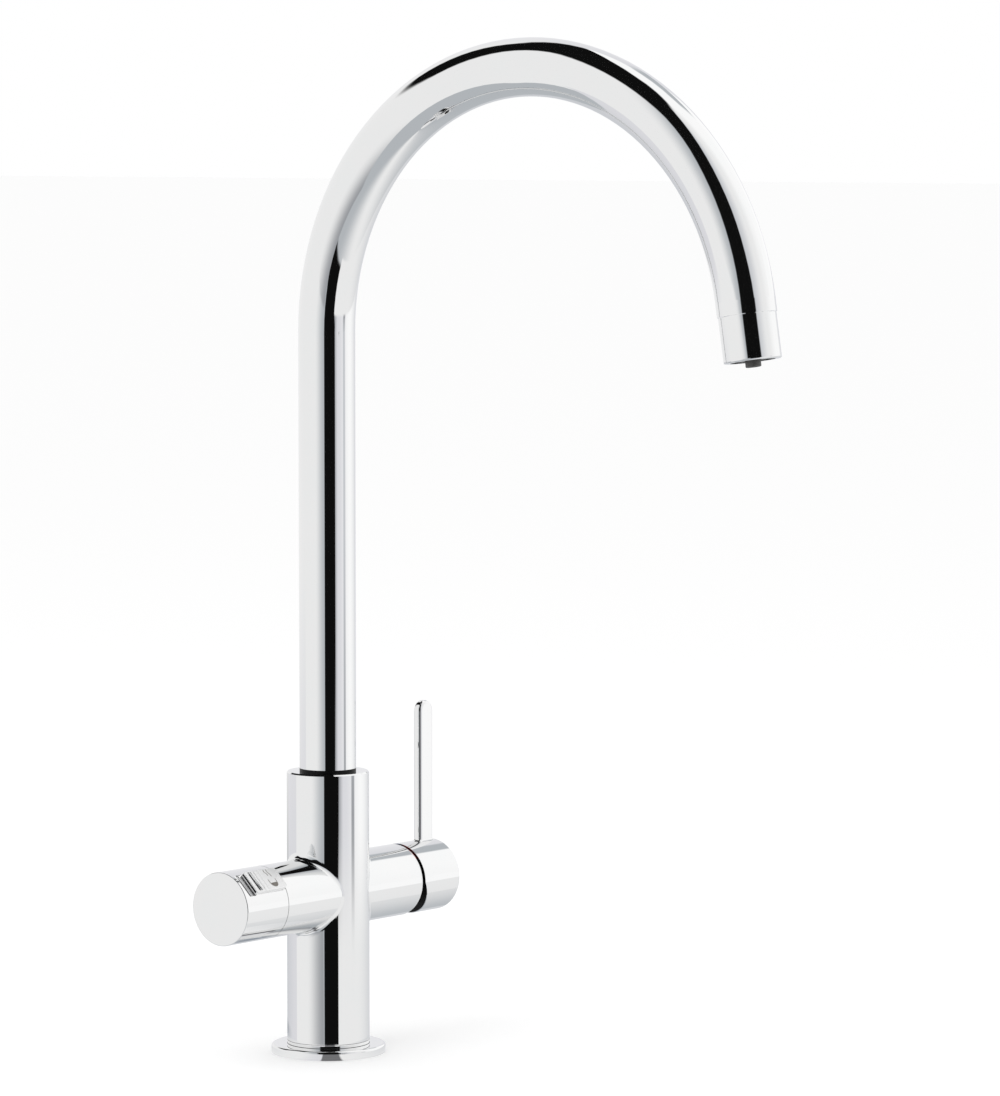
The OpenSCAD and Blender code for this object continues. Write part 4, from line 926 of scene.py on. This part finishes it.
@dataclass
class ArmBlends:
    """Smooth hollow blends where the two arms grow out of the column."""

    column_r: float = 18.2
    arm_r: float = ARM_R
    arm_height: float = ARM_HEIGHT
    blend_r: float = 2.95
    proud: float = 0.012
    sink: float = 0.05          # how deep the blend's edges lie under the arm and the column
    more_sink: float = 0.01     # what the edge on the column lies deeper still
    root: float = 0.5           # how far the edges reach past the hollow
    column_depth: float = 1.0   # where the blend's inner corner lies under the column
    arm_depth: float = 1.5      # the same under the arm
    least_x: float = 1.0
    sections: int = 160
    steps: int = 20

    def build(self) -> None:
        """Builds the blends of both arms."""
        for side, name in ((-1, "left_arm_blend"), (1, "right_arm_blend")):
            finish_piece(self.blend(side), name, "fixed_body", Finishes.CHROME, 50)

    def blend(self, side: int) -> bpy.types.Object:
        """Sweeps the hollow round one arm.

        A ball rolls round the corner of two crossing cylinders, which no primitive gives, so the
        mesh is made from its rings.

        Args:
            side: -1 for the left arm, 1 for the right.

        Returns:
            The blend.
        """
        rings = [self.section(2 * math.pi * index / self.sections) for index in range(self.sections)]
        count = len(rings[0])
        points = [((side * p.x) * MM, p.y * MM, (p.z + self.arm_height) * MM) for ring in rings for p in ring]
        faces = []
        for index in range(self.sections):
            a, b = index * count, (index + 1) % self.sections * count
            faces += [(a + k, b + k, b + (k + 1) % count, a + (k + 1) % count) for k in range(count)]
        mesh = bpy.data.meshes.new("arm_blend")
        mesh.from_pydata(points, [], faces)
        piece = bpy.data.objects.new("arm_blend", mesh)
        bpy.context.scene.collection.objects.link(piece)
        pick_all(piece)
        bpy.ops.mesh.normals_make_consistent(inside=False)
        leave()
        return piece

    def section(self, angle: float) -> list[Vector]:
        """Gives the blend's section at one angle round the arm.

        Args:
            angle: from straight up, in radians.

        Returns:
            The section's points, all the way round.
        """
        reach = self.arm_r + self.blend_r
        y, z = reach * math.sin(angle), reach * math.cos(angle)
        centre = Vector((math.sqrt((self.column_r + self.blend_r) ** 2 - y * y), y, z))
        to_arm = Vector((0, -math.sin(angle), -math.cos(angle)))
        to_column = -Vector((centre.x, centre.y, 0)).normalized()
        opening = to_arm.angle(to_column)
        radius = self.blend_r - self.proud
        arc = [centre + radius * (math.sin((1 - k / self.steps) * opening) * to_arm
                                  + math.sin(k / self.steps * opening) * to_column) / math.sin(opening)
               for k in range(self.steps + 1)]
        past_arm = arc[0] + Vector((1, 0, 0)) * self.root + to_arm * self.sink
        along_column = (arc[-1] - arc[-2]).normalized()
        past_column = arc[-1] + along_column * self.root + to_column * (self.sink + self.more_sink)
        inner_x = max(-to_column.x * (self.column_r - self.column_depth), self.least_x)
        deep = Vector((inner_x, 0, 0)) - to_arm * (self.arm_r - self.arm_depth)
        return [past_arm, *arc, past_column, deep]


@dataclass
class MixerMouth:
    """What shows in the gap between the right arm and the mixer handle.

    Modelled in millimetres with x up from the arm's axis, y towards the front and z outwards from the
    arm's end.
    """

    arm_end: float = 45.5
    arm_height: float = ARM_HEIGHT
    arm_r: float = ARM_R
    lip_l: float = 0.65                 # bright lip at the end of the arm
    lip_wall: float = 0.75
    lip_sink: float = 0.02
    lip_round: float = 0.12
    mark_r: tuple[float, float] = (14.72, 15.75)
    mark_z: tuple[float, float] = (0.1, 1.25)
    mark_from: float = 5.0              # degrees from the top
    mark_to: float = 48.0
    mark_round: float = 0.1
    gap: float = 2.6
    slant: float = 22.0
    mouth_r: tuple[float, float] = (13.38, 15.72)   # black sleeve in the handle's mouth, which paints the shade inside it
    proud: float = 0.03
    depth: float = 21.0
    cutter: float = 40.0                # side of the block that cuts the inlay's slant
    ring_steps: int = 144
    arc_steps: int = 24

    def place(self) -> Matrix:
        """Gives the turn and place of the arm's own frame, from millimetres to metres."""
        frame = Matrix((Vector((0, 0, 1)), Vector((0, -1, 0)), Vector((1, 0, 0)))).transposed() * MM
        return Matrix.Translation(Vector((self.arm_end, 0, self.arm_height)) * MM) @ frame.to_4x4()

    def build(self) -> None:
        """Builds the arm's lip, the two marks and the black sleeve that paints the shade in the handle's
        mouth.
        """
        lip = self.ring((self.arm_r - self.lip_wall, self.arm_r), (-self.lip_sink, self.lip_l), 0, 360,
                        self.lip_round)
        finish_piece(lip, "right_arm_lip", "fixed_body", Finishes.CHROME)
        for name, slot, finish, side in (("hot_arc", "hot_red", Finishes.RED, 1),
                                         ("cold_arc", "cold_blue", Finishes.BLUE, -1)):
            arc = self.ring(self.mark_r, self.mark_z, side * self.mark_from, side * self.mark_to,
                            self.mark_round)
            finish_piece(arc, name, "fixed_body", finish)
            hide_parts(slot.split("_")[0] + "_mark")
        # painted shade: a black sleeve where the inside of the handle lies in shade
        finish_piece(self.shade_sleeve(), "mixer_mouth_shade_sleeve", "mixer_lever", Finishes.ACETAL)

    def ring(self, radii: tuple[float, float], ends: tuple[float, float], start: float, stop: float,
             edge: float) -> bpy.types.Object:
        """Spins a rectangle about the arm's axis.

        Args:
            radii: inner and outer radius.
            ends: where it starts and ends along the arm.
            start: angle of its start from the top, in degrees, towards the front.
            stop: angle of its end.
            edge: rounding of its two outer edges.

        Returns:
            The ring or arc in its place.
        """
        bpy.ops.object.select_all(action="DESELECT")
        bpy.ops.mesh.primitive_plane_add(size=1, location=(sum(radii) / 2, 0, sum(ends) / 2),
                                         rotation=(math.radians(90), 0, 0))
        ring = bpy.context.object
        ring.scale = (radii[1] - radii[0], ends[1] - ends[0], 1)
        settle(ring)
        pick_all(ring)
        bpy.ops.mesh.delete(type="ONLY_FACE")
        leave()
        pick(ring, "VERT", lambda a, b: a.x > radii[1] - NEAR)
        bpy.ops.mesh.bevel(offset=edge, segments=3, affect="VERTICES")
        leave()
        ring.rotation_euler = (0, 0, math.radians(start))
        settle(ring)
        pick_all(ring)
        whole = abs(stop - start) >= 360
        bpy.ops.mesh.spin(steps=self.ring_steps if whole else self.arc_steps,
                          angle=math.radians(start - stop), center=(0, 0, 0), axis=(0, 0, 1))
        bpy.ops.mesh.select_all(action="SELECT")
        bpy.ops.mesh.remove_doubles(threshold=0.001)
        if not whole:
            bpy.ops.mesh.fill_holes(sides=0)
            bpy.ops.mesh.select_all(action="SELECT")
        bpy.ops.mesh.normals_make_consistent(inside=False)
        leave()
        ring.matrix_world = self.place()
        settle(ring)
        return ring

    def shade_sleeve(self) -> bpy.types.Object:
        """Models the black sleeve in the handle's mouth, cut along the handle's slanted rim; it paints the
        shade inside the handle.

        Returns:
            The sleeve in its place.
        """
        start = self.gap - self.proud
        sleeve = add_sleeve(self.mouth_r, self.depth, start, self.ring_steps)
        cutter = add_box((0, 0, -self.cutter / 2), (self.cutter, self.cutter, self.cutter))
        slope = Matrix.Rotation(math.radians(self.slant), 4, "Y")
        cutter.matrix_world = Matrix.Translation((0, 0, start)) @ slope
        settle(cutter)
        only(sleeve)
        cut = sleeve.modifiers.new("slant", "BOOLEAN")
        cut.operation, cut.solver, cut.object = "DIFFERENCE", "EXACT", cutter
        bpy.ops.object.modifier_apply(modifier=cut.name)
        bpy.data.objects.remove(cutter, do_unlink=True)
        sleeve.matrix_world = self.place()
        settle(sleeve)
        return sleeve


@dataclass
class FootShadowRings:
    """Painted shadow in the seams above and below the flange's hub: thin black rubber rings where the seams
    lie in shade.
    """

    levels: tuple[tuple[str, float], ...] = (("column_foot_shadow_ring", 5.5), ("hub_foot_shadow_ring", 3.97))
    height: float = 0.16
    radius: float = 18.235
    wall: float = 0.5
    edge: float = 0.04      # rounding of its outer edges
    corners: int = 160

    def build(self) -> None:
        """Builds both rings of painted shadow."""
        for name, level in self.levels:
            # black rubber here paints the shadow in the seam
            finish_piece(self.ring(level), name, "fixed_body", Finishes.RUBBER)

    def ring(self, level: float) -> bpy.types.Object:
        """Models one ring of painted shadow: a thin ring with rounded outer edges.

        Args:
            level: height of its lower edge.

        Returns:
            The ring in its place.
        """
        ring = add_sleeve((self.radius - self.wall, self.radius), self.height, level, self.corners)
        pick(ring, "EDGE", lambda a, b: abs(a.z - b.z) < NEAR / 10
             and min(a.xy.length, b.xy.length) > self.radius - NEAR)
        round_edges(self.edge, 2)
        ring.matrix_world = Matrix.Scale(MM, 4)
        settle(ring)
        return ring


@dataclass
class SlideSpring:
    """Return spring of the safety pad, which the latch presses together as the pad comes out."""

    frame: dict
    fixed_end: float = -67.3    # where its outer end rests in the handle
    travel: float = 4.5

    def build(self) -> None:
        """Makes the coil from the CAD node's mesh in place of the node."""
        mesh = self.frame["nodes"]["slide_spring"].data.copy()
        coil = bpy.data.objects.new("coil", mesh)
        bpy.context.scene.collection.objects.link(coil)
        pick_all(coil)
        bpy.ops.mesh.remove_doubles(threshold=1e-7)
        bpy.ops.mesh.normals_make_consistent(inside=False)
        leave()
        finish_piece(coil, "slide_spring_coil", "boil_control", Finishes.STEEL)
        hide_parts("slide_spring")
        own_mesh(coil)


@dataclass
class CadNodes:
    """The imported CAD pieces, dressed in their finishes."""

    frame: dict

    def dress(self) -> None:
        """Gives each CAD node the finish of its material slot."""
        slots = {part["node"]: part["material_slot"] for part in self.frame["record"]["subparts"]}
        for name, node in self.frame["nodes"].items():
            node.data.materials.clear()
            node.data.materials.append(SLOT_FINISH[slots[name]].value.material())
            log.info("%s: %s", name, slots[name])


def main(frame: dict) -> None:
    """Builds the scene.
    """
    logging.basicConfig(level=logging.INFO, format="%(name)s: %(message)s")
    bpy.ops.object.select_all(action="DESELECT")
    PhotoCamera().build()
    Studio().build()
    CadNodes(frame).dress()
    ArmBlends().build()
    SafetySlide().build()
    MixerMouth().build()
    FootShadowRings().build()
    SlideSpring(frame).build()


if __name__ == "__main__":
    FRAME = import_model()
    main(FRAME)
